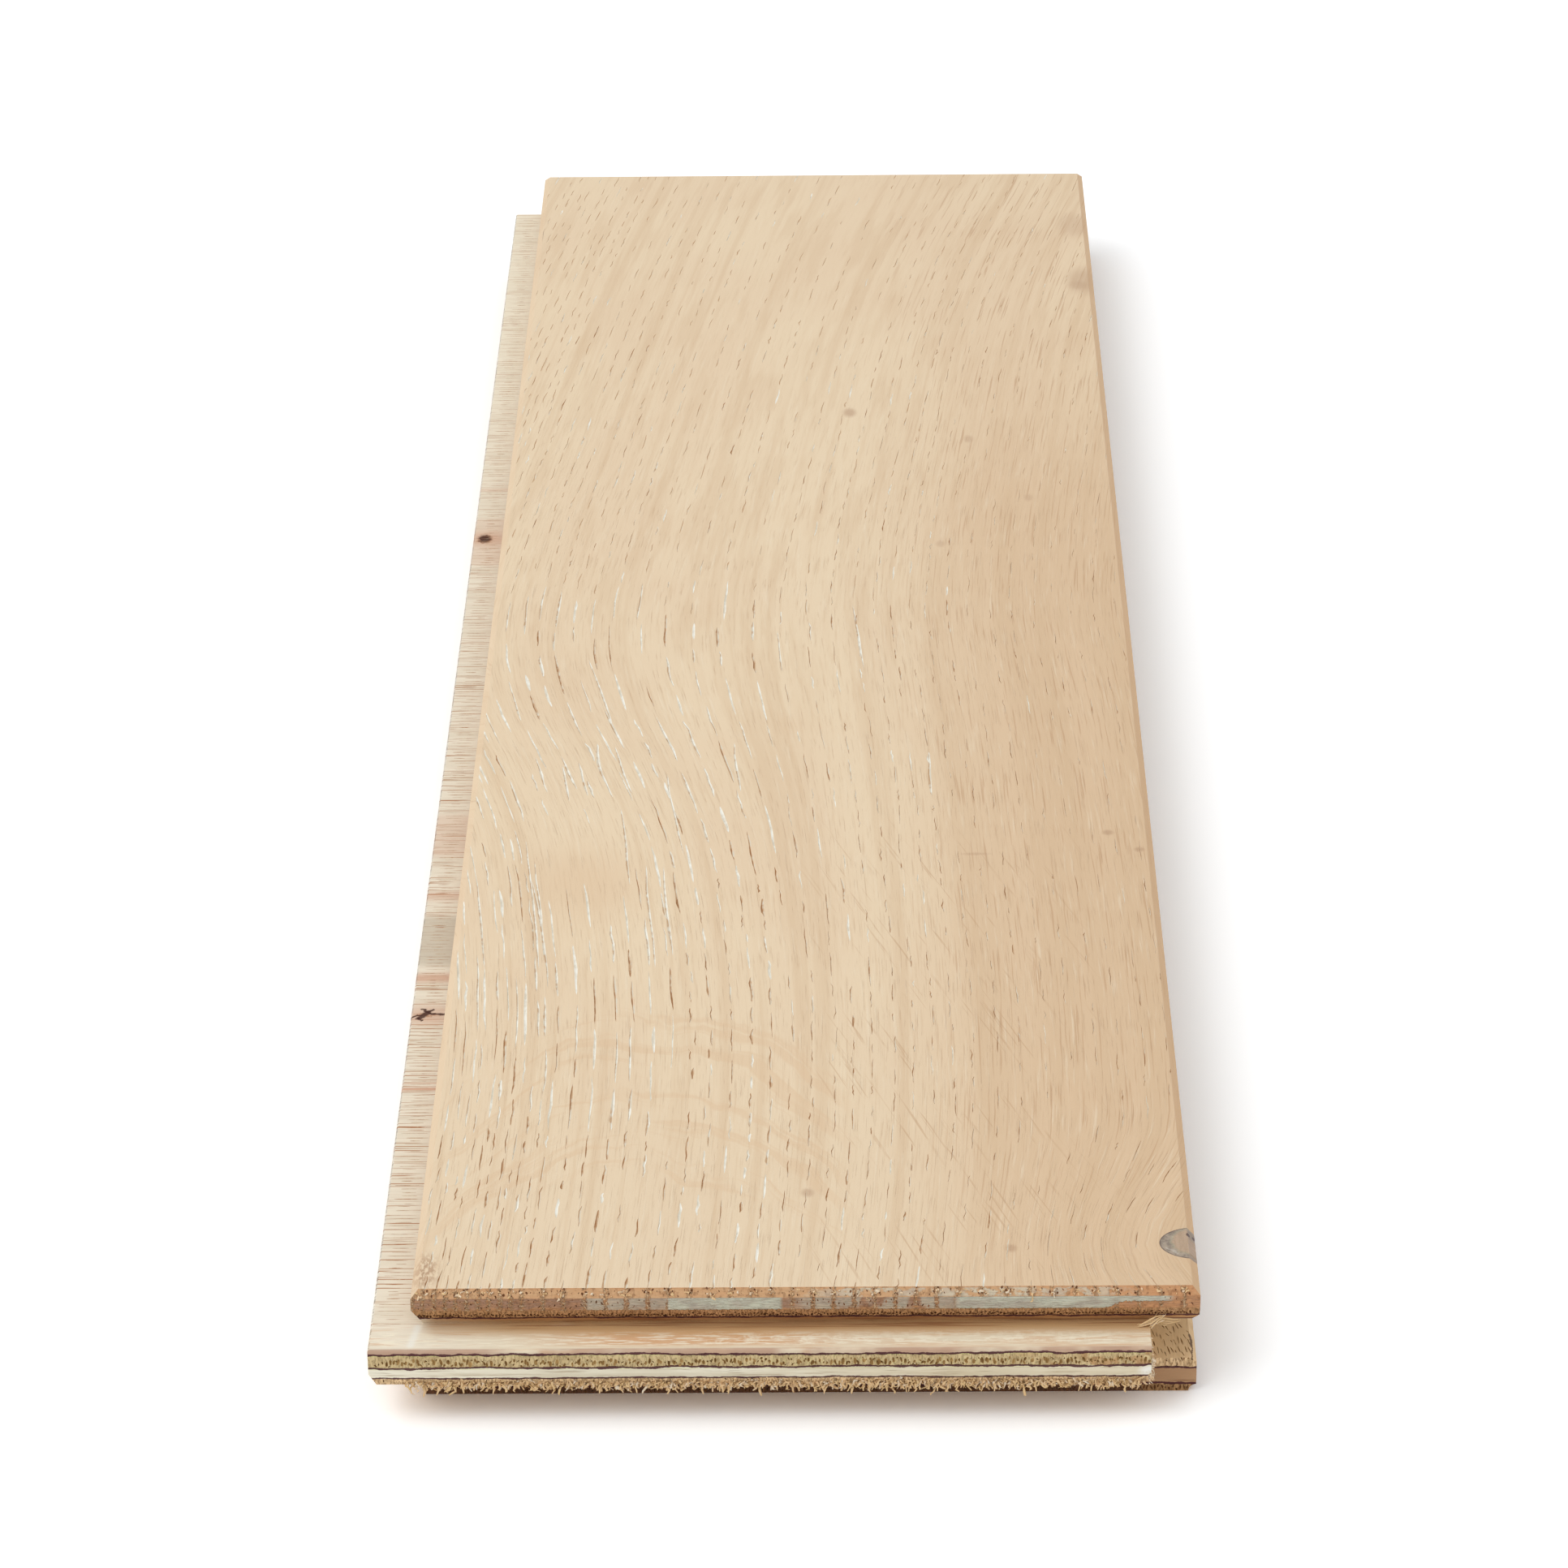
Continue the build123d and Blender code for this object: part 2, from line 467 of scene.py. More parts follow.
class Graph:
    """Adds and links the nodes of one material."""

    def __init__(self, name, roughness, specular):
        self.material = bpy.data.materials.new(name)
        self.material.use_nodes = True
        self.nodes = self.material.node_tree.nodes
        self.links = self.material.node_tree.links
        self.shader = self.nodes["Principled BSDF"]
        self.shader.inputs["Roughness"].default_value = roughness
        self.shader.inputs["Specular IOR Level"].default_value = specular

    def put(self, socket, value):
        """Links a node's output to the socket, or gives the socket a value."""
        if isinstance(value, bpy.types.NodeSocket):
            self.links.new(value, socket)
        elif socket.type == "RGBA":
            socket.default_value = (*value, 1)
        else:
            socket.default_value = value

    def add(self, kind, **settings):
        node = self.nodes.new(kind)
        for key, value in settings.items():
            setattr(node, key, value)
        return node

    def position(self):
        """Object coordinates in mm."""
        place = self.add("ShaderNodeTexCoord").outputs["Object"]
        return self.scaled(place, (1 / MM,) * 3)

    def face_position(self):
        """Object coordinates in mm, counted from the near left corner of the face."""
        return self.scaled(self.position(), (1, 1, 1), (-FACE_CORNER.x, -FACE_CORNER.y, 0))

    def grain(self):
        """Across and along the grain in mm, from the piece's own UV map."""
        place = self.add("ShaderNodeUVMap", uv_map="grain").outputs["UV"]
        return self.scaled(place, (GRAIN_UNIT, GRAIN_UNIT, 0))

    def scaled(self, vector, scale, offset=(0, 0, 0)):
        """A vector stretched, then moved."""
        node = self.add("ShaderNodeMapping")
        self.put(node.inputs["Vector"], vector)
        node.inputs["Scale"].default_value = scale
        node.inputs["Location"].default_value = offset
        return node.outputs["Vector"]

    def split(self, vector):
        node = self.add("ShaderNodeSeparateXYZ")
        self.put(node.inputs[0], vector)
        return node.outputs

    def join(self, x, y, z=0.0):
        node = self.add("ShaderNodeCombineXYZ")
        for socket, value in zip(node.inputs, (x, y, z)):
            self.put(socket, value)
        return node.outputs[0]

    def math(self, operation, a, b=0.0, c=0.0):
        node = self.add("ShaderNodeMath", operation=operation)
        for socket, value in zip(node.inputs, (a, b, c)):
            self.put(socket, value)
        return node.outputs[0]

    def noise(self, vector, detail, roughness=0.5, scale=1.0):
        node = self.add("ShaderNodeTexNoise")
        self.put(node.inputs["Vector"], vector)
        node.inputs["Scale"].default_value = scale
        node.inputs["Detail"].default_value = detail
        node.inputs["Roughness"].default_value = roughness
        return node.outputs["Fac"]

    def step(self, value, low, high, to_low=0.0, to_high=1.0):
        """Smooth change from to_low to to_high while the value goes from low to high."""
        node = self.add("ShaderNodeMapRange", interpolation_type="SMOOTHSTEP")
        self.put(node.inputs["Value"], value)
        self.put(node.inputs["From Min"], low)
        self.put(node.inputs["From Max"], high)
        self.put(node.inputs["To Min"], to_low)
        self.put(node.inputs["To Max"], to_high)
        return node.outputs["Result"]

    def blend(self, factor, a, b):
        """Colour a where the factor is zero, colour b where it is one."""
        node = self.add("ShaderNodeMix", data_type="RGBA")
        self.put(node.inputs["Factor"], factor)
        self.put(node.inputs[MIX_A], a)
        self.put(node.inputs[MIX_B], b)
        return node.outputs[MIX_RESULT]

    def product(self, *values):
        result = values[0]
        for value in values[1:]:
            result = self.math("MULTIPLY", result, value)
        return result

    def plus(self, a, b):
        return self.math("ADD", a, b)

    def less(self, a, b):
        return self.math("SUBTRACT", a, b)

    def larger(self, a, b):
        return self.math("MAXIMUM", a, b)

    def window(self, value, low, high, soft):
        """One between two values and zero outside."""
        rise = self.step(value, self.less(low, soft), self.plus(low, soft))
        fall = self.step(value, self.less(high, soft), self.plus(high, soft), 1, 0)
        return self.product(rise, fall)

    def spot(self, x, y, centre, half_width, half_length, soft):
        """One inside an oval and zero outside."""
        across = self.math("DIVIDE", self.less(x, centre[0]), half_width)
        along = self.math("DIVIDE", self.less(y, centre[1]), half_length)
        node = self.add("ShaderNodeVectorMath", operation="LENGTH")
        self.put(node.inputs[0], self.join(across, along))
        return self.step(node.outputs["Value"], 1 - soft, 1 + soft, 1, 0)

    def stroke(self, x, y, start, end, half_width, soft=0.4):
        """One on a line between two points and zero beside it."""
        size = math.dist(start, end)
        run_x = (end[0] - start[0]) / size
        run_y = (end[1] - start[1]) / size
        from_x = self.less(x, start[0])
        from_y = self.less(y, start[1])
        along = self.math("MULTIPLY_ADD", from_x, run_x, self.product(from_y, run_y))
        held = self.math("MINIMUM", self.larger(along, 0.0), size)
        aside = self.less(self.product(from_x, run_y), self.product(from_y, run_x))
        node = self.add("ShaderNodeVectorMath", operation="LENGTH")
        self.put(node.inputs[0], self.join(self.less(along, held), aside))
        inner, outer = half_width * (1 - soft), half_width * (1 + soft)
        return self.step(node.outputs["Value"], inner, outer, 1, 0)

    def patches(self, x, y, x_scale, y_scale, seed, low, high, strength=1.0, detail=3):
        """Noise cut to patches or streaks, as many to the mm each way as the scales say.

        Up to low in the noise there is none of a patch, and from high on its full strength.
        """
        place = self.join(self.product(x, x_scale), self.product(y, y_scale), seed)
        return self.step(self.noise(place, detail, 0.6), low, high, 0, strength)

    def finish(self, colour, height=None, depth=0.0, roughness=None):
        """The material with its colour, relief of a depth in mm, and varying roughness."""
        self.put(self.shader.inputs["Base Color"], colour)
        if roughness is not None:
            self.put(self.shader.inputs["Roughness"], roughness)
        if height is not None:
            bump = self.add("ShaderNodeBump")
            bump.inputs["Distance"].default_value = depth * MM
            bump.inputs["Strength"].default_value = 1.0
            self.put(bump.inputs["Height"], height)
            self.links.new(bump.outputs["Normal"], self.shader.inputs["Normal"])
        return self.material


def oak_face_material(colours):
    g = Graph("oak_face", roughness=0.6, specular=0.25)
    ring, along, _ = g.split(g.grain())
    x, y, _ = g.split(g.face_position())
    broad = g.patches(ring, along, 0.05, 0.015, 0, 0.4, 0.62)
    tint = g.blend(broad, colours.face_pale, colours.face_pink)
    tint = g.blend(g.step(y, 0, 90, 0.7, 0), tint, colours.face_near)
    calm = g.product(g.step(x, 50, 78), g.step(y, 190, 310, 1, 0.1))
    tint = g.blend(g.product(calm, 0.9), tint, colours.face_warm)
    tint = g.blend(g.patches(ring, along, 0.42, 0.004, 2, 0.48, 0.68, 0.4), tint, colours.face_tan)
    wide_rings = g.patches(ring, along, 0.17, 0.005, 4, 0.4, 0.64, 0.6, 1)
    tint = g.blend(g.product(wide_rings, calm), tint, colours.face_tan)
    sharp = g.step(y, 190, 320, 1, 0.35)
    fibres = g.product(g.patches(ring, along, 3.0, 0.1, 8, 0.5, 0.72, 0.36), sharp)
    tint = g.blend(fibres, tint, colours.face_tan)
    pale_fibres = g.product(g.patches(ring, along, 2.2, 0.09, 15, 0.54, 0.74, 0.38), sharp)
    tint = g.blend(pale_fibres, tint, colours.face_light)
    hairlines = g.product(g.patches(ring, along, 5.5, 0.12, 23, 0.58, 0.7, 0.36), sharp)
    tint = g.blend(hairlines, tint, colours.face_fibre)
    thin_lines = g.patches(ring, along, 3.2, 0.06, 31, 0.58, 0.66, 0.5, 2)
    beside_knot = g.step(y, 10, 36, 0.55, 1)
    tint = g.blend(g.product(thin_lines, g.step(x, 50, 68), beside_knot), tint, colours.face_line)
    far_rows = g.patches(ring, along, 0.5, 0.03, 37, 0.48, 0.64, 0.3)
    tint = g.blend(g.product(far_rows, g.step(y, 110, 190)), tint, colours.face_tan)
    tint = medullary_rays(g, tint, x, y, colours)
    tint = face_marks(g, tint, x, y, colours)
    tint = g.blend(g.step(x, 89.1, 89.25, 0, 0.6), tint, colours.face_edge)
    tint = g.blend(g.step(x, 0.8, 0.9, 0.35, 0), tint, colours.face_tan)
    height = g.less(pale_fibres, g.plus(hairlines, fibres))
    return g.finish(tint, height, 0.05)


def medullary_rays(g, tint, x, y, colours):
    """Thin slanting rays on the right, and faint arches on the left."""
    lean = math.radians(19)
    cos, sin = math.cos(lean), math.sin(lean)
    across = g.math("MULTIPLY_ADD", x, cos, g.product(y, sin))
    along = g.less(g.product(y, cos), g.product(x, sin))
    rays = g.patches(across, along, 2.0, 0.045, 40, 0.6, 0.65, 0.5, 2)
    clumps = g.patches(x, y, 0.12, 0.07, 44, 0.42, 0.6)
    region = g.product(g.window(x, 46, 80, 5), g.window(y, 2, 112, 8), clumps)
    tint = g.blend(g.product(rays, region), tint, colours.face_fibre)
    wobble = g.product(g.noise(g.scaled(g.join(x, y), (0.09, 0.06, 0)), 3), 12)
    offset = g.less(x, 23)
    curve = g.math("POWER", g.math("ABSOLUTE", offset), 2)
    fall = g.product(g.step(offset, -1, 1, 0.05, 0.03), curve)
    level = g.plus(g.less(g.less(y, 60), wobble), fall)
    arches = g.patches(level, offset, 0.3, 0.03, 51, 0.5, 0.62, 0.46, 3)
    region = g.product(g.window(level, -40, 1.5, 1), g.window(x, 1, 49, 3))
    return g.blend(g.product(arches, region), tint, colours.face_ray)


def face_marks(g, tint, x, y, colours):
    """Pinkish wood without pores, small brown spots and the dirt at the edges."""
    bare = g.product(g.spot(x, y, (16, 98), 7, 9, 0.8), 0.5)
    tint = g.blend(bare, tint, colours.face_ray)
    for centre, half_width, half_length, strength in FACE_SPOTS:
        mark = g.spot(x, y, centre, half_width * 0.75, half_length * 0.75, 0.6)
        mark = g.product(mark, strength)
        tint = g.blend(mark, tint, colours.face_spot)
    grime = g.patches(x, y, 2.4, 0.9, 60, 0.4, 0.56, 0.85)
    corner = g.product(g.spot(x, y, (1.3, 4.6), 1.5, 3.2, 0.6), grime)
    return g.blend(corner, tint, colours.face_spot)


def pore_material(name, low, high, soft):
    """Inside of a pore or hole, or a loose fibre: patches of two tones with soft edges."""
    g = Graph(name, roughness=0.8, specular=0.1)
    mottle = g.noise(g.scaled(g.position(), (1.2, 0.5, 1.2)), 3, 0.6)
    return g.finish(g.blend(g.step(mottle, 0.5 - soft, 0.5 + soft), low, high))


def oak_end_material(colours):
    """End grain: tan bevel, browner below, crossed by the crumbly rows of pores."""
    g = Graph("oak_end_grain", roughness=0.75, specular=0.2)
    x, y, z = g.split(g.face_position())
    rows = rows_in_end_grain(g, z)
    bevel = g.step(z, BEVEL_FOOT - 0.03, BEVEL_FOOT + 0.04)
    tint = g.blend(bevel, colours.end_brown, colours.end_tan)
    layers = g.product(g.patches(x, z, 0.5, 3.6, 13, 0.42, 0.6), g.step(bevel, 0, 1, 0.6, 0.3))
    tint = g.blend(layers, tint, g.blend(bevel, colours.end_mauve, colours.end_orange))
    foot = g.patches(x, z, 0.9, 1.5, 15, 0.3, 0.6, 0.8)
    foot = g.product(g.step(z, OAK_FOOT + 0.2, OAK_FOOT + 0.6, 1, 0), foot)
    tint = g.blend(foot, tint, colours.end_foot)
    arris = g.patches(x, y, 0.3, 0, 6, 0.36, 0.55, 0.55)
    arris = g.product(g.step(z, ARRIS_FOOT, ARRIS_FOOT + 0.16), arris)
    tint = g.blend(arris, tint, colours.end_orange)
    right = g.product(g.step(x, 68, 82), g.patches(x, z, 0.6, 1.8, 19, 0.2, 0.55, 0.9))
    tint = g.blend(right, tint, colours.end_orange)
    grime = g.patches(x, z, 1.6, 1.4, 17, 0.5, 0.66, 0.45)
    tint = g.blend(grime, tint, colours.end_dark)
    lacquer = spilt_lacquer(g, x, y, z, rows)
    bare = g.step(lacquer, 0.3, 0.75, 1, 0)
    cloud = g.patches(x, z, 0.3, 0.6, 29, 0.3, 0.62)
    tint = g.blend(lacquer, tint, g.blend(cloud, colours.lacquer_grey, colours.lacquer_pale))
    crumbs = g.patches(x, z, 3.6, 3.2, 21, 0.46, 0.56)
    crumbly = g.blend(crumbs, colours.end_foot, colours.end_pale)
    tint = g.blend(g.product(rows, bare, g.step(bevel, 0, 1, 0.75, 0.45)), tint, crumbly)
    holes = g.patches(x, z, 3.0, 2.6, 27, 0.58, 0.63)
    dark = g.product(holes, bare, g.math("MULTIPLY_ADD", rows, 0.35, 0.12))
    tint = g.blend(dark, tint, colours.end_dark)
    rough = g.product(g.less(crumbs, g.plus(holes, holes)), rows, bare)
    height = g.plus(g.less(rough, layers), g.product(lacquer, 0.8))
    return g.finish(tint, height, 0.14, g.step(lacquer, 0, 1, 0.75, 0.3))


def rows_in_end_grain(g, z):
    """One where the rows of pores come out in the end grain and on the near bevel."""
    ring, _, _ = g.split(g.grain())
    ring = g.math("MULTIPLY_ADD", g.less(z, FACE_HEIGHT), GRAIN_SLANT, ring)
    from_close = g.math("PINGPONG", g.less(ring, CLOSE_ROW), CLOSE_PITCH / 2)
    from_usual = g.math("PINGPONG", g.less(ring, USUAL_ROW), RING_PITCH / 2)
    from_wide = g.math("PINGPONG", g.less(ring, WIDE_ROW), RING_PITCH * WIDE_SHARE / 2)
    away = g.step(ring, WIDE_FROM, WIDE_FROM + 0.1, from_usual, from_wide)
    away = g.step(ring, CLOSE_UNTIL + 0.5, CLOSE_UNTIL + 0.6, from_close, away)
    ragged = g.product(g.less(g.noise(g.join(ring, z), 4, 0.7, scale=1.8), 0.5), 1.2)
    return g.step(g.plus(away, ragged), 0.06, 0.4, 1, 0)


def spilt_lacquer(g, x, y, z, rows):
    """Lacquer that ran over the edge and dried below the bevel."""
    solid = g.larger(g.window(x, 29.3, 42.3, 0.3), g.window(x, 62, 86.6, 0.8))
    veil = g.patches(x, z, 0.35, 0.2, 35, 0.36, 0.5)
    faint = g.larger(g.window(x, 19.6, 29.5, 0.3), g.product(g.window(x, 44, 86, 2), veil))
    faint = g.product(faint, g.step(rows, 0, 1, 1, 0), 0.5)
    band = g.larger(g.product(solid, 0.92), faint)
    torn = g.noise(g.join(g.product(x, 2.2), 0), 4, 0.75)
    hem = g.step(x, 79, 81.5, OAK_FOOT + 0.05, OAK_FOOT + 0.95)
    lower = g.math("MULTIPLY_ADD", g.less(torn, 0.5), 1.1, hem)
    band = g.product(band, g.window(z, lower, BEVEL_FOOT, 0.04))
    drips = g.patches(x, z, 0.55, 1.2, 41, 0.44, 0.54)
    on_bevel = g.window(z, BEVEL_FOOT + 0.05, ARRIS_FOOT + 0.1, 0.08)
    smear = g.product(g.window(x, 46, 81, 4), drips, on_bevel, g.step(rows, 0, 1, 1, 0.2))
    spilt = g.larger(band, g.product(smear, 0.55))
    return g.product(spilt, g.step(y, 1, 2, 1, 0))


def shade(tone, *factors):
    """A tone of the same wood, darker or lighter by a factor a channel."""
    return tuple(min(channel * factor, 1) for channel, factor in zip(tone, factors))


def glue_line(g, x, y, z, height):
    """One on the wavy line of glue at a height, in the plies on both sides of it."""
    seed = height * 3.7
    wave = g.noise(g.join(g.product(x, 0.3), g.product(y, 0.3), seed), 5, 0.62)
    level = g.math("MULTIPLY_ADD", g.less(wave, 0.5), 0.8, z)
    offset = g.math("ABSOLUTE", g.less(level, height))
    half = g.plus(g.patches(x, y, 0.9, 0.9, seed + 40, 0.38, 0.68, 0.09), 0.075)
    return g.step(offset, half, g.plus(half, 0.05), 1, 0)


def veneer_material(node, end, colours):
    """Side or end grain of one ply, with the dark glue at its faces."""
    low, high = (corner.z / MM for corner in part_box(node))
    number = number_of(node)
    tone = tuple(getattr(colours, node))
    g = Graph(f"{node}_{'end' if end else 'side'}", roughness=0.78, specular=0.15)
    x, y, z = g.split(g.face_position())
    if end:
        # Painted light: the end of ply 5 takes a lighter copy of its tone than its side
        if node == "ply_5":
            tone = shade(tone, 1.08, 1.09, 1.09)
        run = x if number % 2 else y
        cloud = g.patches(run, z, 0.5, 0.5, number * 7, 0.4, 0.65)
        figure = 0.6 if node in ("ply_3", "ply_4") else 1.0
        streaks = g.patches(run, z, 3.0, 0.6, number * 3, 0.48, 0.66, 0.75 * figure)
        fine = g.patches(run, z, 5.0, 1.5, number * 5, 0.52, 0.66, 0.8 * figure)
    else:
        across, along = (x, y) if number % 2 else (y, x)
        across = g.plus(across, z)
        figure = 0.4 if node in ("ply_2", "ply_5") else 1.0
        cloud = g.patches(across, along, 0.35, 0.05, number * 7, 0.4, 0.65, figure)
        streaks = g.patches(across, along, 1.6, 0.06, number * 3, 0.52, 0.7, 0.6 * figure)
        fine = g.patches(across, along, 4.5, 0.14, number * 5, 0.58, 0.68, 0.7 * figure)
    tint = g.blend(cloud, shade(tone, 1.06, 1.07, 1.08), shade(tone, 0.88, 0.86, 0.82))
    tint = g.blend(streaks, tint, shade(tone, 0.74, 0.68, 0.6))
    tint = g.blend(fine, tint, shade(tone, 0.6, 0.5, 0.42))
    if node == "ply_2":
        tint = tongue_marks(g, tint, x, y, z, colours)
    if node in ("ply_3", "ply_4"):
        fresh = g.patches(x, z, 0.5, 0, 83, 0.3, 0.5, 0.5)
        fresh = g.product(g.window(z, high - 0.22, high - 0.1, 0.06), fresh)
        tint = g.blend(fresh, tint, colours.ply_green)
    if node == "ply_4":
        tint = torn_corner(g, tint, x, y, z, colours)
    if node == "ply_3" and end:
        tint = green_fibres(g, tint, x, z, colours)
    if node == "ply_5":
        tint = groove_slit(g, tint, x, y, z, colours)
    # Painted shade on the near ends of the lower lip, under the overhanging tongue
    if node in ("ply_6", "ply_7"):
        lip = g.product(g.step(x, 82, 85, 1, 0), g.step(y, 1.5, 2.5, 1, 0))
        tint = g.blend(lip, tint, colours.lower_lip_shade)
    glue = glue_line(g, x, y, z, high) if number > 1 else 0.0
    if node != "ply_7":
        glue = g.larger(glue, glue_line(g, x, y, z, low))
    half = (high - low) / 2
    from_middle = g.math("ABSOLUTE", g.less(z, (low + high) / 2))
    glue = g.product(glue, 0.96, g.step(from_middle, half - 0.001, half, 1, 0))
    tint = g.blend(glue, tint, colours.glue)
    height = g.less(g.product(glue, -0.5), g.plus(streaks, fine))
    return g.finish(tint, height, 0.16 if end else 0.05)


def green_fibres(g, tint, x, z, colours):
    """Yellow-green end grain in the middle of the tongue's front, brown at its right end."""
    green = g.product(g.patches(x, z, 1.4, 0.8, 77, 0.5, 0.64, 0.2), g.window(x, 22, 68, 12))
    tint = g.blend(green, tint, colours.ply_green)
    brown = g.product(g.patches(x, z, 0.5, 0.7, 79, 0.46, 0.62, 0.6), g.step(x, 64, 78))
    return g.blend(brown, tint, colours.tongue_brown)


def torn_corner(g, tint, x, y, z, colours):
    """Tan towards the right of the tongue's front, with fresh white wood at the torn corner."""
    front = g.step(y, 1, 2, 1, 0)
    tint = g.blend(g.product(front, g.step(x, 30, 64), 0.3), tint, colours.ply_3)
    fresh = g.product(front, g.spot(x, z, (84.3, 6.5), 1.3, 0.8, 0.5))
    fresh = g.product(fresh, g.patches(x, z, 0.9, 0.9, 87, 0.3, 0.5))
    return g.blend(fresh, tint, colours.lime)


def groove_slit(g, tint, x, y, z, colours):
    """Dark open joint along the right edge of the groove's floor."""
    bent = g.math("MULTIPLY_ADD", g.less(g.noise(g.join(x, y), 2), 0.5), 0.5, x)
    wide = g.stroke(bent, y, (89.33, 6.2), (89.4, 3.6), 0.16)
    thin = g.stroke(bent, y, (89.4, 3.8), (89.3, 0.6), 0.08)
    slit = g.product(g.larger(wide, thin), g.step(z, GROOVE_FLOOR - 0.35, GROOVE_FLOOR - 0.25), 0.85)
    return g.blend(slit, tint, colours.knot_dark)


def tongue_marks(g, tint, x, y, z, colours):
    """Stains, knots and crosswise lines on the top of both tongues, and painted shade under the oak lip
    on the near tongue.
    """
    near = g.step(y, 1.25, 1.6, 1, 0)
    left = g.product(g.step(x, 0.4, 1.4, 1, 0), g.step(y, -0.5, 0.5))
    inland = g.product(near, g.step(x, 0.3, 3))
    tint = g.blend(g.product(near, g.step(x, -1, 12), 0.75), tint, colours.tongue_cream)
    stained = g.patches(y, x, 0.5, 0.05, 61, 0.15, 0.45, 0.95)
    orange = g.product(near, g.window(x, 17, 47, 9), g.window(y, -3.9, 0, 0.8), stained)
    tint = g.blend(orange, tint, colours.tongue_orange)
    warm = g.product(near, g.step(x, 42, 60), g.patches(y, x, 0.7, 0.06, 65, 0.36, 0.62, 0.5))
    tint = g.blend(warm, tint, colours.tongue_orange)
    scattered = g.product(near, g.patches(y, x, 1.8, 0.12, 64, 0.54, 0.66, 0.55))
    tint = g.blend(scattered, tint, colours.tongue_orange)
    glints = g.product(near, g.patches(y, x, 3.0, 0.3, 63, 0.48, 0.6, 0.8))
    glints = g.product(glints, g.window(y, -3.9, -1.0, 0.5))
    tint = g.blend(glints, tint, colours.tongue_white)
    flecks = g.patches(x, y, 0.5, 0.7, 67, 0.48, 0.6, 0.7)
    flecks = g.product(flecks, g.patches(x, y, 2.2, 2.8, 69, 0.3, 0.6))
    flecks = g.product(flecks, g.window(y, -3.5, -1.3, 0.5), g.window(x, 33, 54, 3))
    crust = g.patches(x, y, 0.8, 1.0, 68, 0.5, 0.62, 0.6)
    crust = g.product(crust, g.window(y, -3.4, -0.8, 0.5), g.window(x, 50, 80, 4))
    tint = g.blend(g.larger(flecks, crust), tint, colours.tongue_white)
    # Painted shade of the oak lip on the foot of the near tongue, in tan; this strength also weights
    # the slope's brown
    stain = g.plus(g.product(g.window(x, 6, 100, 9), 0.45), 0.55)
    foot = g.product(inland, g.step(y, -2.9, 0.1), stain, g.patches(y, x, 0.6, 0.08, 70, 0.0, 0.4))
    tint = g.blend(g.product(foot, 0.95), tint, colours.tongue_lip_shade)
    # The slope up to the lip: partly the wood's brown stain, partly painted shade that darkens towards
    # the lip
    climb = g.step(z, TONGUE_TOP - 0.05, TONGUE_TOP + 0.85, 0.05, 0.95)
    slope = g.product(inland, g.step(y, -0.1, 0.3), climb, stain)
    tint = g.blend(slope, tint, colours.tongue_brown)
    deep = g.product(inland, g.window(x, 26, 62, 9), g.step(y, -0.9, 0.1))
    deep = g.product(deep, g.patches(y, x, 0.5, 0.06, 75, 0.3, 0.6), 0.35)
    tint = g.blend(deep, tint, colours.tongue_streak)
    streaks = g.patches(g.plus(y, z), x, 2.4, 0.06, 73, 0.5, 0.62, 0.6)
    streaks = g.product(inland, g.step(y, -0.6, 0.2), streaks)
    tint = g.blend(streaks, tint, colours.tongue_streak)
    tint = g.blend(g.product(left, g.step(y, 190, 290), 0.45), tint, colours.tongue_white)
    strip = g.stroke(x, y, (0.7, 0.3), (0.1, -3.7), 0.4, 0.8)
    tint = g.blend(g.product(strip, 0.6), tint, colours.lime)
    seam = g.window(z, TONGUE_TOP + 0.11, TONGUE_TOP + 0.27, 0.05)
    seam = g.product(near, seam, g.step(x, 84.4, 85))
    tint = g.blend(seam, tint, colours.glue)
    worn = g.patches(y, x, 0.3, 0.12, 72, 0.2, 0.55, 0.9)
    front = g.step(z, TONGUE_TOP - 0.02, TONGUE_TOP + 0.05, 1, 0)
    front = g.product(front, g.step(y, -4.6, -4.25, 1, 0), worn)
    tint = g.blend(front, tint, colours.tongue_front)
    rim = g.product(left, g.step(x, -4.6, -4.45, 1, 0), 0.4)
    tint = g.blend(rim, tint, colours.lime)
    lines = g.patches(y, x, 3.0, 0.05, 71, 0.57, 0.61, 0.9, 2)
    lines = g.product(left, lines, g.patches(y, x, 0.09, 0, 74, 0.34, 0.5))
    lines = g.product(lines, g.step(y, 130, 230, 1, 0.5))
    tint = g.blend(lines, tint, colours.tongue_line)
    for place, half, strength, reddish in TONGUE_BANDS:
        band = g.product(left, g.window(y, place - half, place + half, min(half, 1.2)), strength)
        tint = g.blend(band, tint, colours.tongue_red if reddish else colours.tongue_grey)
    return tongue_knots(g, tint, x, y, left, colours)


def tongue_knots(g, tint, x, y, left, colours):
    """Two small knots in the left tongue, the nearer one cracked."""
    waver = g.less(g.noise(g.join(x, y), 3, 0.7, scale=1.6), 0.5)
    bent_x = g.math("MULTIPLY_ADD", waver, 1.2, x)
    bent_y = g.math("MULTIPLY_ADD", waver, 0.9, y)
    for centre, halo, half_width, half_length in TONGUE_KNOTS:
        glow = g.spot(bent_x, bent_y, centre, 3.4, halo, 0.7)
        tint = g.blend(g.product(left, glow, 0.6), tint, colours.tongue_red)
        core = g.spot(bent_x, bent_y, centre, half_width * 0.8, half_length, 0.5)
        core = g.product(left, core, g.patches(x, y, 1.4, 1.4, 81, 0.4, 0.55, 0.85))
        tint = g.blend(core, tint, colours.tongue_line)
    far_knot = TONGUE_KNOTS[1][0]
    pith = g.spot(bent_x, bent_y, far_knot, 0.9, 1.3, 0.4)
    tint = g.blend(g.product(pith, 0.95), tint, colours.knot_dark)
    for start, end, half_width in KNOT_CRACKS:
        crack = g.stroke(bent_x, bent_y, start, end, half_width)
        tint = g.blend(g.product(crack, 0.92), tint, colours.knot_dark)
    return tint


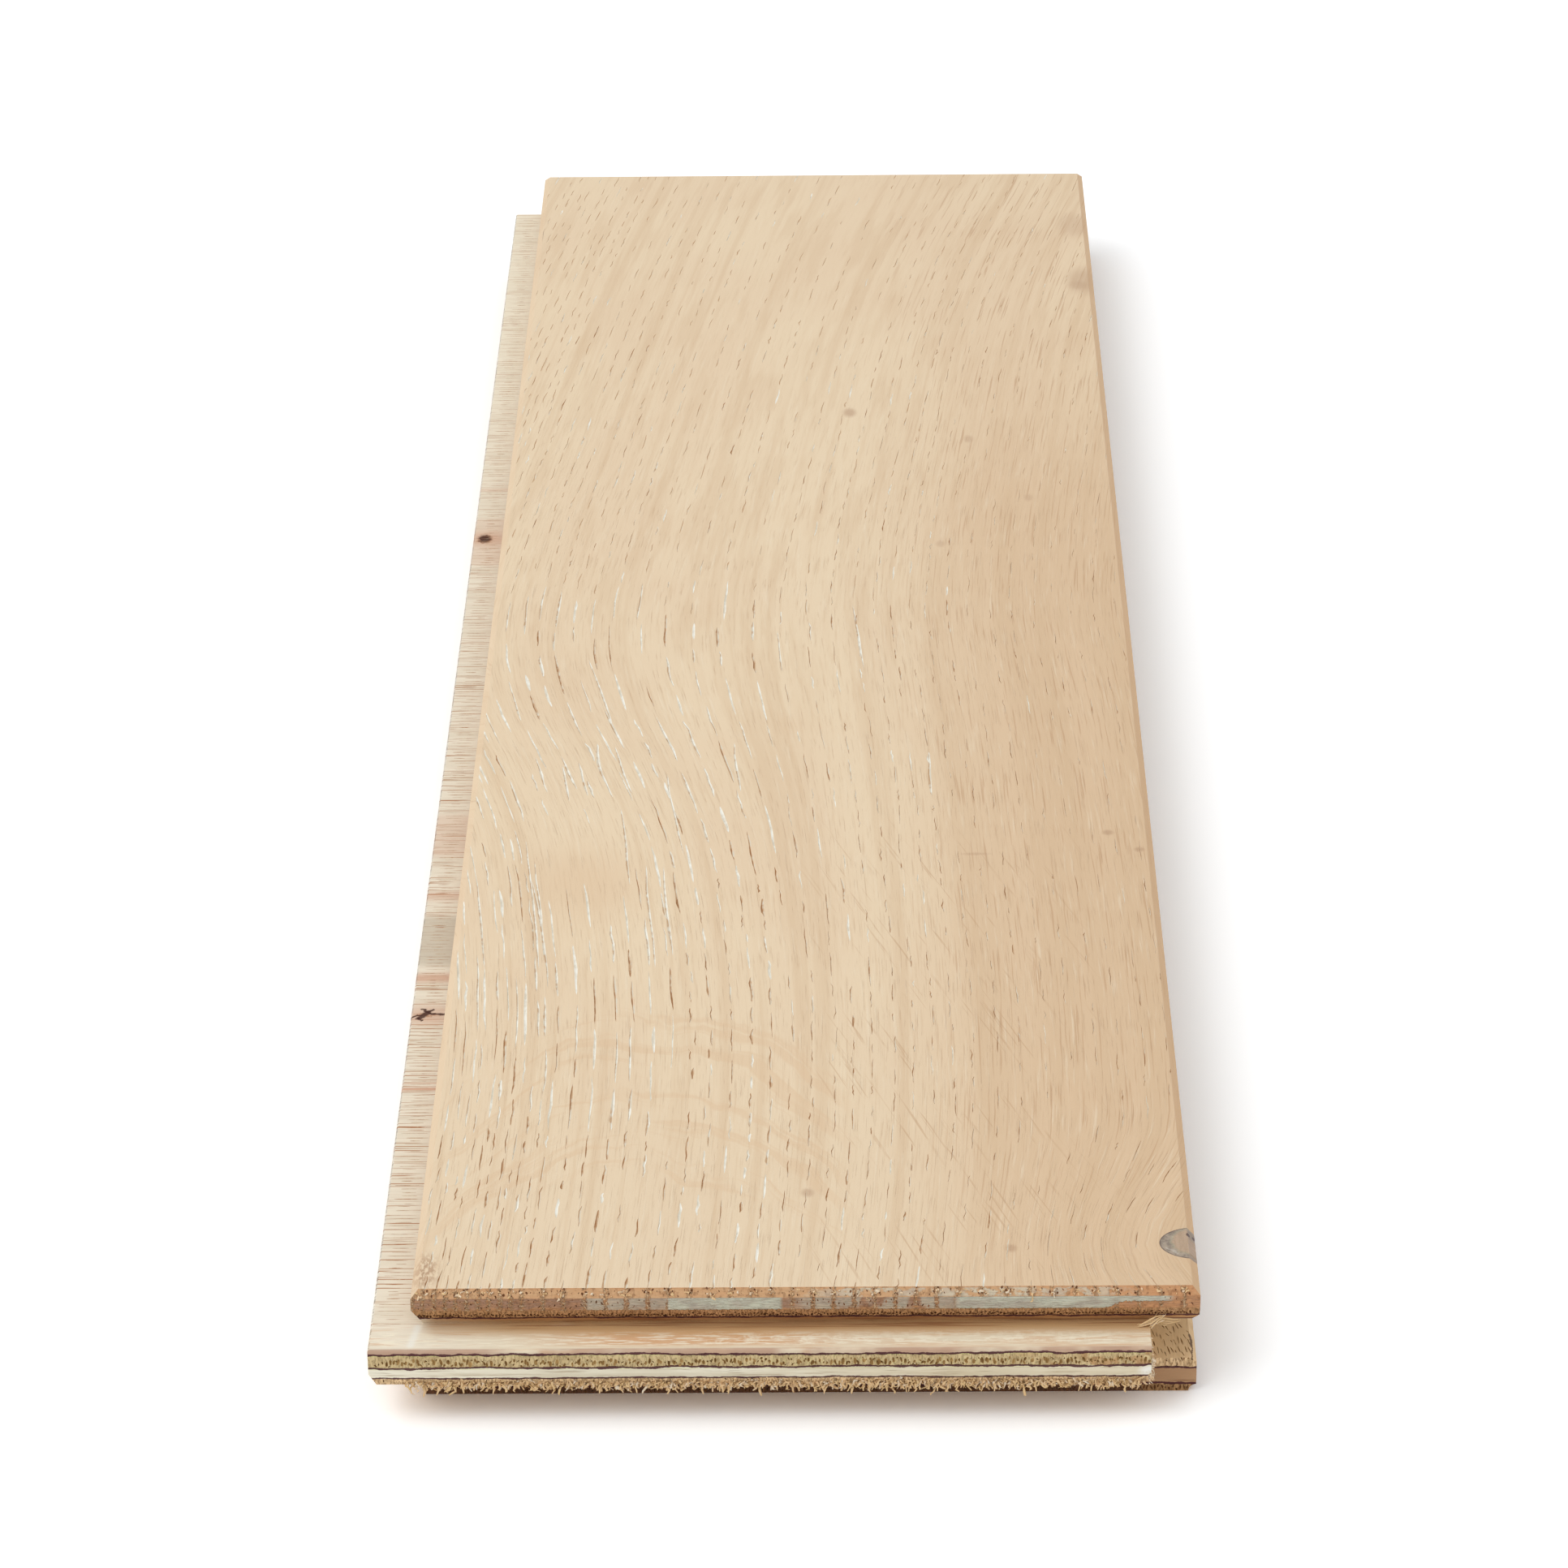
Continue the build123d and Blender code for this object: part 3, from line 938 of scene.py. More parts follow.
def floor_material(colours):
    """White paper that looks a little overexposed to the camera, as in a studio."""
    g = Graph("studio_floor", roughness=0.9, specular=0.0)
    paper = g.finish(colours.floor)
    rays = g.add("ShaderNodeLightPath").outputs
    seen = g.larger(rays["Is Camera Ray"], rays["Is Glossy Ray"])
    seen = g.larger(seen, rays["Is Transmission Ray"])
    glare = g.add("ShaderNodeBsdfDiffuse")
    g.put(glare.inputs["Color"], g.blend(seen, (0, 0, 0), colours.floor_glare))
    both = g.add("ShaderNodeAddShader")
    g.links.new(g.shader.outputs[0], both.inputs[0])
    g.links.new(glare.outputs[0], both.inputs[1])
    g.links.new(both.outputs[0], g.nodes["Material Output"].inputs["Surface"])
    return paper


def filler_material(colours):
    """Two-part filler: grey-brown rim on the left, smooth beige middle, darker bevel."""
    g = Graph("filler", roughness=0.45, specular=0.4)
    x, y, z = g.split(g.face_position())
    waver = g.less(g.noise(g.join(x, y, z), 3, 0.6, scale=0.8), 0.5)
    bent_x = g.plus(x, waver)
    bent_y = g.plus(y, waver)
    tint = g.blend(g.patches(x, y, 0.9, 0.7, 5, 0.42, 0.6), colours.filler_rim, colours.filler_grey)
    shine = g.stroke(bent_x, bent_y, (86.5, 8.9), (87.9, 7.8), 0.12)
    tint = g.blend(g.product(shine, 0.2), tint, colours.lime)
    heart = (89.8, 10.3)
    seam = g.spot(bent_x, bent_y, heart, 2.75, 2.95, 0.07)
    tint = g.blend(g.product(seam, 0.6), tint, colours.filler_seam)
    middle = g.spot(bent_x, bent_y, heart, 2.5, 2.7, 0.08)
    streaks = g.patches(x, y, 2.6, 0.3, 9, 0.42, 0.62)
    streaky = g.blend(streaks, colours.filler_body, colours.filler_brown)
    tint = g.blend(middle, tint, streaky)
    crest = g.step(x, 89.1, 89.25)
    tint = g.blend(g.product(crest, 0.5), tint, colours.filler_dark)
    cool = g.product(crest, g.spot(x, y, (89.6, 12.1), 0.8, 1.0, 0.5), 0.7)
    tint = g.blend(cool, tint, colours.filler_rim)
    rim = g.spot(x, y, (90, 9.9), 4.08, 3.28, 0.035)
    outline = g.product(g.less(1, rim), g.step(x, 89, 89.3, 0.75, 0.3))
    tint = g.blend(outline, tint, colours.knot_dark)
    for speck, size in (((89.2, 11.8), 0.22), ((89.85, 11.9), 0.2)):
        tint = g.blend(g.spot(x, y, speck, size, size * 1.6, 0.3), tint, colours.knot_dark)
    grain = g.patches(x, y, 2, 2, 3, 0.3, 0.7, 0.3)
    return g.finish(tint, g.plus(middle, grain), 0.12)


def give_grain_uv(piece):
    """UV map whose U runs across the grain and V along it."""
    mesh = piece.data
    layer = mesh.uv_layers.new(name="grain")
    points = np.empty(len(mesh.vertices) * 3)
    mesh.vertices.foreach_get("co", points)
    points = points.reshape(-1, 3) / MM
    across = points[:, 0] - FACE_CORNER.x
    along = points[:, 1] - FACE_CORNER.y
    ring = ring_at(across, along) + (FACE_HEIGHT - points[:, 2]) * GRAIN_SLANT
    corners = np.empty(len(mesh.loops), int)
    mesh.loops.foreach_get("vertex_index", corners)
    uv = np.stack([ring, along], 1)[corners] / GRAIN_UNIT
    layer.data.foreach_set("uv", uv.ravel())


def sort_faces(piece, rule):
    """Gives each face its material slot by the rule, which goes by the face's normal."""
    for face in piece.data.polygons:
        face.material_index = rule(face.normal)


# Settings


def colour(name, screen, note):
    """A colour property, its default given as it looks on a screen, 0 to 255."""
    linear = [((c / 255 + 0.055) / 1.055) ** 2.4 if c > 10 else c / 255 / 12.92 for c in screen]
    return bpy.props.FloatVectorProperty(
        name=name, description=note, subtype="COLOR", size=3, min=0, max=1, default=linear
    )


class ParquetColours(bpy.types.PropertyGroup):
    face_pale: colour("Face, pale", (226, 205, 174), "Main tone of the oak face")
    face_pink: colour("Face, pink", (223, 200, 169), "Second tone of the oak face")
    face_near: colour("Face, near", (222, 201, 171), "Tone of the face towards the near end")
    face_tan: colour("Face, tan", (206, 177, 142), "Darker bands of the oak face")
    face_warm: colour("Face, warm", (213, 184, 150), "Flat-sawn side of the oak face")
    face_light: colour("Face, light", (233, 218, 192), "Pale fibres of the oak face")
    face_fibre: colour("Face, hairlines", (188, 154, 118), "Thin dark fibres of the oak face")
    face_line: colour("Face, lines", (182, 144, 108), "Long thin lines on the right of the face")
    face_ray: colour("Face, rays", (214, 184, 149), "Pinkish rays and arches")
    face_edge: colour("Face, edge", (208, 168, 124), "Bevel of the face on the groove side")
    face_spot: colour("Face, spots", (176, 142, 112), "Small marks and dirt")
    pore_brown: colour("Pore", (160, 116, 78), "Shaded wall of an open pore")
    pore_grey: colour("Pore, dusty", (196, 164, 130), "Dusty part of an open pore")
    pore_lit: colour("Pore, lit", (222, 198, 168), "Lit wall of an open pore")
    lime: colour("Lime", (236, 234, 224), "White lime")
    lime_grey: colour("Lime, thin", (214, 206, 188), "Thin part of the lime")
    end_tan: colour("End grain", (197, 157, 117), "Oak end grain on the bevel")
    end_orange: colour("End grain, orange", (194, 142, 100), "Orange part of the bevel")
    end_brown: colour("End grain, brown", (172, 130, 100), "Oak end grain below the bevel")
    end_pale: colour("End grain, pale", (220, 190, 152), "Rays in the oak end grain")
    end_mauve: colour("End grain, mauve", (158, 128, 112), "Greyish layers below the bevel")
    end_foot: colour("End grain, foot", (184, 134, 90), "Crumbly rows and the lowest oak")
    end_dark: colour("End grain, dark", (112, 72, 44), "Pores in the oak end grain")
    end_pit: colour("End grain, holes", (138, 92, 58), "Holes in the oak end grain")
    lacquer_grey: colour("Lacquer, grey", (178, 172, 158), "Thin spilt lacquer")
    lacquer_pale: colour("Lacquer, pale", (200, 204, 186), "Thick spilt lacquer")
    ply_1: colour("Ply 1", (194, 150, 108), "Veneer under the oak")
    ply_2: colour("Ply 2", (225, 214, 194), "Veneer with the top of the tongue")
    ply_3: colour("Ply 3", (204, 182, 138), "Olive veneer in the tongue")
    ply_4: colour("Ply 4", (228, 222, 202), "Pale veneer in the tongue")
    ply_5: colour("Ply 5", (222, 190, 148), "Veneer at the floor of the groove")
    ply_6: colour("Ply 6", (186, 148, 114), "Veneer in the lower lip")
    ply_7: colour("Ply 7", (180, 140, 98), "Veneer against the floor")
    ply_green: colour("Ply, green", (206, 204, 136), "Yellow-green fibres at the glue")
    torn_tan: colour("Torn fibres", (214, 184, 136), "Whiskers under the near tongue")
    # Painted shade on the lower lip under the near tongue, not a stain
    lower_lip_shade: colour("Lower lip", (112, 78, 58), "Stained end of the lower lip")
    glue: colour("Glue", (80, 42, 48), "Glue between the plies")
    tongue_cream: colour("Tongue, cream", (224, 211, 184), "Base of the near tongue")
    tongue_white: colour("Tongue, white", (238, 229, 206), "Glints and blotches on the near tongue")
    # Painted shade that the oak lip casts on the foot of the near tongue
    tongue_lip_shade: colour("Tongue, tan", (190, 152, 106), "Tan foot of the near tongue")
    tongue_streak: colour("Tongue, streaks", (136, 86, 52), "Dark streaks at the foot of the tongue")
    tongue_orange: colour("Tongue, orange", (210, 166, 126), "Stains on the near tongue")
    # Partly the stain of the slope above the near tongue, partly painted shade under the oak lip; also
    # the brown at the right end of ply 3's front
    tongue_brown: colour("Tongue, brown", (176, 126, 80), "Stained slope above the tongue")
    tongue_front: colour("Tongue, front", (180, 146, 124), "Front edge of the near tongue")
    tongue_line: colour("Tongue, lines", (170, 118, 80), "Crosswise lines on the left tongue")
    tongue_red: colour("Tongue, red", (206, 164, 138), "Reddish stains on the left tongue")
    tongue_grey: colour("Tongue, grey", (196, 184, 164), "Grey stain on the left tongue")
    knot_dark: colour("Knot", (70, 40, 32), "Dark knots and outlines")
    filler_rim: colour("Filler rim", (128, 114, 100), "Rim of the filler in the knot hole")
    filler_grey: colour("Filler, grey", (162, 146, 128), "Paler part of the rim")
    filler_seam: colour("Filler seam", (170, 160, 132), "Pale line round the middle of the filler")
    filler_body: colour("Filler", (178, 152, 126), "Middle of the filler in the knot hole")
    filler_brown: colour("Filler, brown", (168, 142, 116), "Streaks in the filler")
    filler_dark: colour("Filler, dark", (160, 130, 104), "Filler on the bevel")
    floor: colour("Floor", (252, 250, 248), "Studio floor")
    floor_glare: colour("Floor glare", (118, 127, 135), "Extra white that the camera sees on the floor")


class ParquetSizes(bpy.types.PropertyGroup):
    pore_width: bpy.props.FloatProperty(
        name="Pore width",
        description="Width of an open pore on the face",
        default=0.26 * MM,
        unit="LENGTH",
    )
    pore_depth: bpy.props.FloatProperty(
        name="Pore depth",
        description="Depth of a pore below the face",
        default=0.085 * MM,
        unit="LENGTH",
    )
    ring_pitch: bpy.props.FloatProperty(
        name="Ring pitch",
        description="Usual distance between two rows of pores",
        default=RING_PITCH * MM,
        unit="LENGTH",
    )


# Pores and pits


def ring_places(rng, pitch):
    """Where the rows of pores cross the near end: close together at the left edge."""
    places = []
    ring = FIRST_RING
    while ring < LAST_RING:
        places.append(ring + rng.normal(0, 0.12))
        if 0 < ring < CLOSE_UNTIL:
            ring += CLOSE_PITCH
        elif ring > WIDE_FROM:
            ring += pitch * WIDE_SHARE
        else:
            ring += pitch
    return places


def pore_habit(across, along):
    """How the pores look at a place on the face: chance, lengths, gaps, width and lime."""
    if along > SOFTEST_FROM:
        return 0.8, (1.6, 5), (1, 4), 0.6, 0.15
    if across > 66:
        return 0.75, (1.6, 6), (1, 5), 0.5, 0.08
    if 9 < across < 23 and 88 < along < 118:
        return 0.1, (3, 6), (2, 6), 0.8, 0.5
    if along > SOFT_FROM:
        return 0.88, (2, 6), (0.8, 3), 0.66, 0.3
    if across > 54:
        return 0.86, (1.6, 6), (0.8, 3.8), 0.68, 0.2
    if across < 42 and along > 98:
        return 0.9, (4, 14), (0.8, 3.6), 1.2, 0.78
    if across < 15 and along > 52:
        return 0.96, (7, 20), (0.5, 2.2), 1.15, 0.88
    if across < 30 and along > 34:
        return 0.92, (4, 14), (0.7, 3), 1.15, 0.7
    if across > 42 and along > 70:
        return 0.9, (2.5, 9), (0.8, 3.6), 0.8, 0.4
    if across < 42:
        return 0.94, (2, 6.5), (0.5, 2.2), 1.0, 0.42
    return 0.9, (1.6, 5.5), (0.8, 3.2), 0.8, 0.2


def wall_slots(rng, along, limed):
    """Finishes of a pore's left and right wall: the darker left wall is painted shade and the lighter
    right wall painted light, on limed pores too.
    """
    if rng.random() < limed:
        return (LIME_THIN, LIME) if rng.random() < 0.6 else (LIME, LIME)
    if along > SOFTEST_FROM:
        return (SOFT_PORE, PORE_LIT)
    if along > SOFT_FROM:
        return (SOFT_PORE, PORE_LIT) if rng.random() < 0.8 else (PORE, PORE_LIT)
    return (PORE, LIME_THIN) if rng.random() < 0.45 else (PORE, PORE_LIT)


def open_pores(rack, rng, sizes):
    """Rows of pores along the rings of the face."""
    for ring in ring_places(rng, sizes.ring_pitch / MM):
        along = -3.0 + rng.uniform(0, 4)
        row_width = rng.uniform(0.75, 1.2)
        while along < FACE_LENGTH + 2:
            across = float(grain_x(ring, along))
            chance, lengths, gaps, width, limed = pore_habit(across, along)
            length = rng.uniform(*lengths)
            by_knot = across >= KNOT_LEFT and KNOT_NEAR < along + length / 2 < KNOT_FAR
            if 0.2 < across < FACE_WIDTH - 0.2 and rng.random() < chance and not by_knot:
                rack.along_grain(
                    ring + rng.normal(0, 0.14),
                    along + length / 2,
                    length,
                    sizes.pore_width / MM * width * row_width * rng.uniform(0.6, 1.3),
                    sizes.pore_depth / MM * rng.uniform(0.7, 1.2),
                    rng,
                    wall_slots(rng, along, limed),
                )
            along += length + rng.uniform(*gaps)


def limed_pores(rack, rng, sizes):
    """The few long pores that the lime has filled white."""
    across, _, up = rack.shape.T
    for far, near in LIME_LINES:
        wander = np.cumsum(rng.normal(0, 0.09, GOUGE_DRAWS))[rack.station]
        width = rng.uniform(0.3, 0.42) * (1 + rng.normal(0, 0.12, GOUGE_DRAWS)[rack.station])
        x = near[0] + rack.share * (far[0] - near[0]) + wander + across * width / 2
        y = near[1] + rack.share * (far[1] - near[1])
        z = FACE_HEIGHT + up * sizes.pore_depth / MM * 0.8
        # Greyer thin lime on the left wall as painted shade, white lime on the right wall as painted
        # light
        rack.add(np.stack([x + FACE_CORNER.x, y + FACE_CORNER.y, z], 1), (LIME_THIN, LIME))


def row_ends(pitch):
    """Where the rows of pores come out at the near end, in face mm."""
    rings = ring_places(np.random.default_rng(ROW_SEED), pitch)
    places = [float(grain_x(ring, 0)) for ring in rings]
    return [place for place in places if 1 < place < FACE_WIDTH - 1.5]


def row_pits(rack, rng, places):
    """Holes in the near bevel where the rows of pores come out."""
    last = 0.0
    for place in places:
        for offset in (-0.42, 0, 0.42):
            across = place + offset + rng.uniform(-0.04, 0.04)
            width = rng.uniform(0.16, 0.34)
            height = rng.uniform(BEVEL_FOOT + 0.12, FACE_HEIGHT - 0.06)
            if across - last < 0.4 or rng.random() < 0.2:
                continue
            last = across
            y = FACE_CORNER.y + height - BEVEL_FOOT
            centre = (FACE_CORNER.x + across, y, height)
            rack.upright(centre, 0.22, width, width * rng.uniform(0.8, 1.6), rng, 1, PIT)


def end_pits(rack, rng, axis, low, high, pitch, slot, size, tall=2.2, far=True, clear=()):
    """Pits in the end grain of a layer, on the tongue side and on the groove side.

    A pit is up to tall times as high as it is wide, and none is cut in the clear stretches.
    """
    across = 1 - axis
    sides = [(BOX_CORNER[axis], 1, TONGUE_HEIGHTS, TONGUE_INSETS)]
    if far:
        sides.append((BOX_END[axis], -1, GROOVE_HEIGHTS, GROOVE_INSETS))
    for edge, inward, heights, insets in sides:
        first, last = BOX_CORNER[across] + 0.8, BOX_END[across] - 0.8
        for station in np.arange(first, last, pitch):
            width = rng.uniform(*size)
            reach = min(width * rng.uniform(1, tall), (high - low) * 0.7)
            height = rng.uniform(low + reach * 0.6, high - reach * 0.6)
            centre = [0, 0, height]
            centre[axis] = edge + inward * float(np.interp(height, heights, insets))
            centre[across] = station + rng.uniform(-0.1, 0.1) * pitch
            depth = rng.uniform(0.1, 0.3)
            place = station - FACE_CORNER[across]
            if inward < 0 or not any(start < place < end for start, end in clear):
                rack.upright(centre, depth, width, reach, rng, axis, slot)


# Steps, one for each piece or group of pieces


class PARQUET_OT_oak_layer(bpy.types.Operator):
    """Brushed oak wear layer with open and limed pores"""

    bl_idname = "parquet.oak_layer"
    bl_label = "Oak wear layer"

    def execute(self, context):
        colours = context.scene.parquet_colours
        sizes = context.scene.parquet_sizes
        piece = copy_of_node("oak_wear_layer", "oak_wear_layer_brushed")
        saw(piece, 0, np.arange(FACE_CORNER.x + SAW_ACROSS, FACE_END.x - SAW_MARGIN, SAW_ACROSS))
        saw(piece, 1, np.arange(FACE_CORNER.y + SAW_ALONG, FACE_END.y - SAW_MARGIN, SAW_ALONG))
        finishes = [
            oak_face_material(colours),
            oak_end_material(colours),
            pore_material("open_pore", colours.pore_brown, colours.pore_grey, 0.12),
            pore_material("lit_pore", colours.pore_lit, colours.lime_grey, 0.1),
            pore_material("thin_lime", colours.pore_grey, colours.lime_grey, 0.1),
            pore_material("white_lime", colours.lime_grey, colours.lime, 0.15),
            pore_material("end_pit", colours.end_pit, colours.end_brown, 0.2),
            pore_material("soft_pore", colours.pore_grey, colours.face_tan, 0.15),
        ]
        for finish in finishes:
            piece.data.materials.append(finish)
        sort_faces(piece, lambda normal: END if abs(normal.y) > 0.5 else FACE)
        rng = np.random.default_rng(ROW_SEED)
        rack = ToolRack("oak_pores", finishes)
        open_pores(rack, rng, sizes)
        carve(piece, rack.mesh())
        rack = ToolRack("limed_pores", finishes)
        limed_pores(rack, rng, sizes)
        carve(piece, rack.mesh())
        rack = ToolRack("end_pores", finishes)
        end_pits(rack, rng, 1, FACE_HEIGHT - 0.85, FACE_HEIGHT - 0.05, 0.8, PIT, (0.08, 0.16))
        below = (FACE_HEIGHT - 2.4, BEVEL_FOOT - 0.05)
        end_pits(rack, rng, 1, *below, 0.6, PIT, (0.1, 0.2), 2.5, clear=LACQUERED)
        carve(piece, rack.mesh())
        rack = ToolRack("row_pits", finishes)
        row_pits(rack, rng, row_ends(sizes.ring_pitch / MM))
        carve(piece, rack.mesh())
        give_grain_uv(piece)
        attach(piece, "root")
        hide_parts("oak_wear_layer")
        return {"FINISHED"}


class PARQUET_OT_knot_filler(bpy.types.Operator):
    """Hardened filler in the knot hole"""

    bl_idname = "parquet.knot_filler"
    bl_label = "Knot filler"

    def execute(self, context):
        piece = copy_of_node("knot_filler", "knot_filler_sanded")
        piece.data.materials.append(filler_material(context.scene.parquet_colours))
        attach(piece, "root")
        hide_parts("knot_filler")
        return {"FINISHED"}


class PARQUET_OT_core_plies(bpy.types.Operator):
    """The cross-laid veneers of the core, pitted where their grain ends"""

    bl_idname = "parquet.core_plies"
    bl_label = "Core plies"

    def execute(self, context):
        colours = context.scene.parquet_colours
        for node in PLIES:
            self.make_ply(node, colours)
        return {"FINISHED"}

    def make_ply(self, node, colours):
        """One veneer: odd plies have their grain along the block, even ones across it."""
        number = number_of(node)
        lengthwise = number % 2 == 1
        piece = copy_of_node(node, f"{node}_veneer")
        tone = tuple(getattr(colours, node))
        deep, shallow = PIT_SHADES.get(node, PIT_SHADES["others"])
        pit = pore_material(f"{node}_pit", shade(tone, *deep), shade(tone, *shallow), 0.2)
        finishes = [veneer_material(node, False, colours), veneer_material(node, True, colours), pit]
        if node == "ply_2":
            faded = shade(tone, 0.8, 0.72, 0.62)
            finishes.append(pore_material("ply_2_line", colours.tongue_line, faded, 0.15))
        for finish in finishes:
            piece.data.materials.append(finish)
        grain_axis = 1 if lengthwise else 0
        sort_faces(piece, lambda normal: PLY_END if abs(normal[grain_axis]) > 0.5 else PLY_SIDE)
        rng = np.random.default_rng(PLY_SEED + number)
        rack = ToolRack(f"{node}_pits", finishes)
        low, high = (corner.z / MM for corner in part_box(node))
        if node == "ply_1":
            end_pits(rack, rng, 1, low + 0.1, high - 0.35, 0.44, PLY_PIT, (0.16, 0.4), 1.5)
        elif node == "ply_3":
            end_pits(rack, rng, 1, low, low + 1.35, 0.44, PLY_PIT, (0.14, 0.38), 2.5)
        elif lengthwise:
            end_pits(rack, rng, 1, low, high, 0.42, PLY_PIT, (0.1, 0.24), 4.5)
        else:
            end_pits(rack, rng, 0, low, min(high, TONGUE_TOP - 0.2), 0.9, PLY_PIT, (0.08, 0.16))
        carve(piece, rack.mesh())
        rack = ToolRack(f"{node}_more_pits", finishes)
        if node == "ply_1":
            end_pits(rack, rng, 1, low + 0.05, low + 0.8, 0.36, PLY_PIT, (0.18, 0.34), 1.5, far=False)
        if node == "ply_2":
            self.tongue_pores(rack, rng)
        if node == "ply_3":
            end_pits(rack, rng, 1, low, low + 1.2, 0.83, PLY_PIT, (0.14, 0.46), 2, far=False)
        if node == "ply_5":
            self.groove_pores(rack, rng)
        if rack.points:
            carve(piece, rack.mesh())
        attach(piece, "root")
        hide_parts(node)

    def tongue_pores(self, rack, rng):
        """Fine open pores that run across the top of the left tongue."""
        for along in np.arange(1, FACE_LENGTH - 8, 0.85):
            length = rng.uniform(1.2, 3.9)
            x = FACE_CORNER.x - 2.35 + rng.uniform(-0.4, 0.4)
            centre = (x, FACE_CORNER.y + along + rng.uniform(-0.2, 0.2), TONGUE_TOP)
            if not TONGUE_KNOT_STRETCH[0] < along < TONGUE_KNOT_STRETCH[1]:
                rack.straight(centre, length, rng.uniform(0.06, 0.15), 0.06, rng, 0, PLY_LINE)

    def groove_pores(self, rack, rng):
        """Open pores along the floor of the groove, where it shows at the near end."""
        for across in np.arange(0.9, 5.3, 0.4):
            along = 1.5 + rng.uniform(0, 0.9)
            while along < 24:
                length = rng.uniform(0.4, 1.7)
                centre = (BOX_END.x - across, FACE_CORNER.y + along + length / 2, GROOVE_FLOOR)
                lean = rng.uniform(-0.2, -0.04)
                rack.straight(centre, length, rng.uniform(0.07, 0.16), 0.1, rng, 1, PLY_PIT, lean)
                along += length + rng.uniform(0.5, 1.2 + along * 0.5)


class PARQUET_OT_torn_fibres(bpy.types.Operator):
    """Whiskers under the tongue and torn splinters at its right end"""

    bl_idname = "parquet.torn_fibres"
    bl_label = "Torn fibres"

    def execute(self, context):
        colours = context.scene.parquet_colours
        rng = np.random.default_rng(FIBRE_SEED)
        pale = pore_material("torn_pale", colours.end_pale, colours.ply_2, 0.2)
        tan = pore_material("torn_tan", colours.torn_tan, colours.ply_5, 0.2)
        rack = ToolRack("torn_fibres", [pale, tan])
        self.whiskers(rack, rng)
        self.torn_end(rack, rng)
        self.splinters(rack, rng)
        self.crumbs(rack, rng, context.scene.parquet_sizes.ring_pitch / MM)
        piece = rack.mesh()
        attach(piece, "root")
        return {"FINISHED"}

    def whiskers(self, rack, rng):
        """Frayed lower edge of ply 5 along the near tongue."""
        nose = BOX_CORNER.y
        stations = np.arange(FACE_CORNER.x - 0.4, FACE_CORNER.x + 83.4, WHISKER_PITCH)
        tufts = np.convolve(rng.normal(0, 1, len(stations)), np.hanning(TUFT_SIZE), "same")
        for across, tuft in zip(stations, tufts):
            height = TONGUE_UNDERSIDE + rng.uniform(0.05, 0.45)
            foot = nose + float(np.interp(height, TONGUE_HEIGHTS, TONGUE_INSETS))
            reach = max(WHISKER_REACH + 0.022 * tuft, 0.3) * rng.uniform(0.88, 1.08)
            if rng.random() < 0.03:
                reach += rng.uniform(0.05, 0.18)
            if across < FACE_CORNER.x + 1.2:
                reach *= 0.35
            start = (across, foot + rng.uniform(0.02, 0.3), height)
            end = (across + rng.normal(0, 0.12), foot - rng.uniform(-0.1, 0.2), height - reach)
            rack.sliver(start, end, rng.uniform(0.3, 0.46), rng, int(rng.random() < 0.8))

    def torn_end(self, rack, rng):
        """Pale fibres left by the cutter at the right end of the near tongue."""
        stop = BOX_END.x - GROOVE_DEPTH - 0.05
        nose = BOX_CORNER.y
        for _ in range(110):
            height = rng.uniform(TONGUE_UNDERSIDE + 0.3, TONGUE_TOP - 0.05)
            y = nose + (rng.uniform(0.3, 4.6) if height > 9 else rng.uniform(0.15, 0.5))
            start = (stop - 0.12, y, height)
            end = (stop + rng.uniform(0.03, 0.22), y + rng.normal(0, 0.1), height + rng.normal(0, 0.25))
            rack.sliver(start, end, rng.uniform(0.1, 0.24), rng, 0)

    def splinters(self, rack, rng):
        """Splinters that hang in the corner between tongue and groove."""
        corner = np.array((FACE_CORNER.x + 84.3, FACE_CORNER.y - 0.6, TONGUE_TOP + 0.05))
        for _ in range(16):
            start = corner + rng.uniform((-1.8, -0.2, 0), (0.2, 0.5, 0.1))
            end = corner + rng.uniform((0.7, 0.2, 0.7), (1.7, 0.6, 1.4))
            rack.sliver(start, end, rng.uniform(0.08, 0.18), rng, int(rng.random() < 0.7))
        for _ in range(14):
            start = corner + rng.uniform((-0.2, 0.8, 0), (1.2, 1.2, 0.3))
            end = start + rng.uniform((0.8, -0.2, -0.1), (3.6, 0, 0.2))
            rack.sliver(start, end, rng.uniform(0.1, 0.2), rng, 1)

    def crumbs(self, rack, rng, pitch):
        """Crumbs of wood left where the rows of pores meet the near bevel."""
        for place in row_ends(pitch):
            for _ in range(rng.integers(2, 9)):
                height = rng.uniform(BEVEL_FOOT + 0.2, FACE_HEIGHT - 0.1)
                y = FACE_CORNER.y + height - BEVEL_FOOT
                start = np.array((FACE_CORNER.x + place + rng.normal(0, 0.36), y + 0.08, height))
                reach = (rng.normal(0, 0.12), -rng.uniform(0.09, 0.15), rng.uniform(-0.12, 0.1))
                rack.sliver(start, start + reach, rng.uniform(0.16, 0.36), rng, int(rng.random() < 0.5))


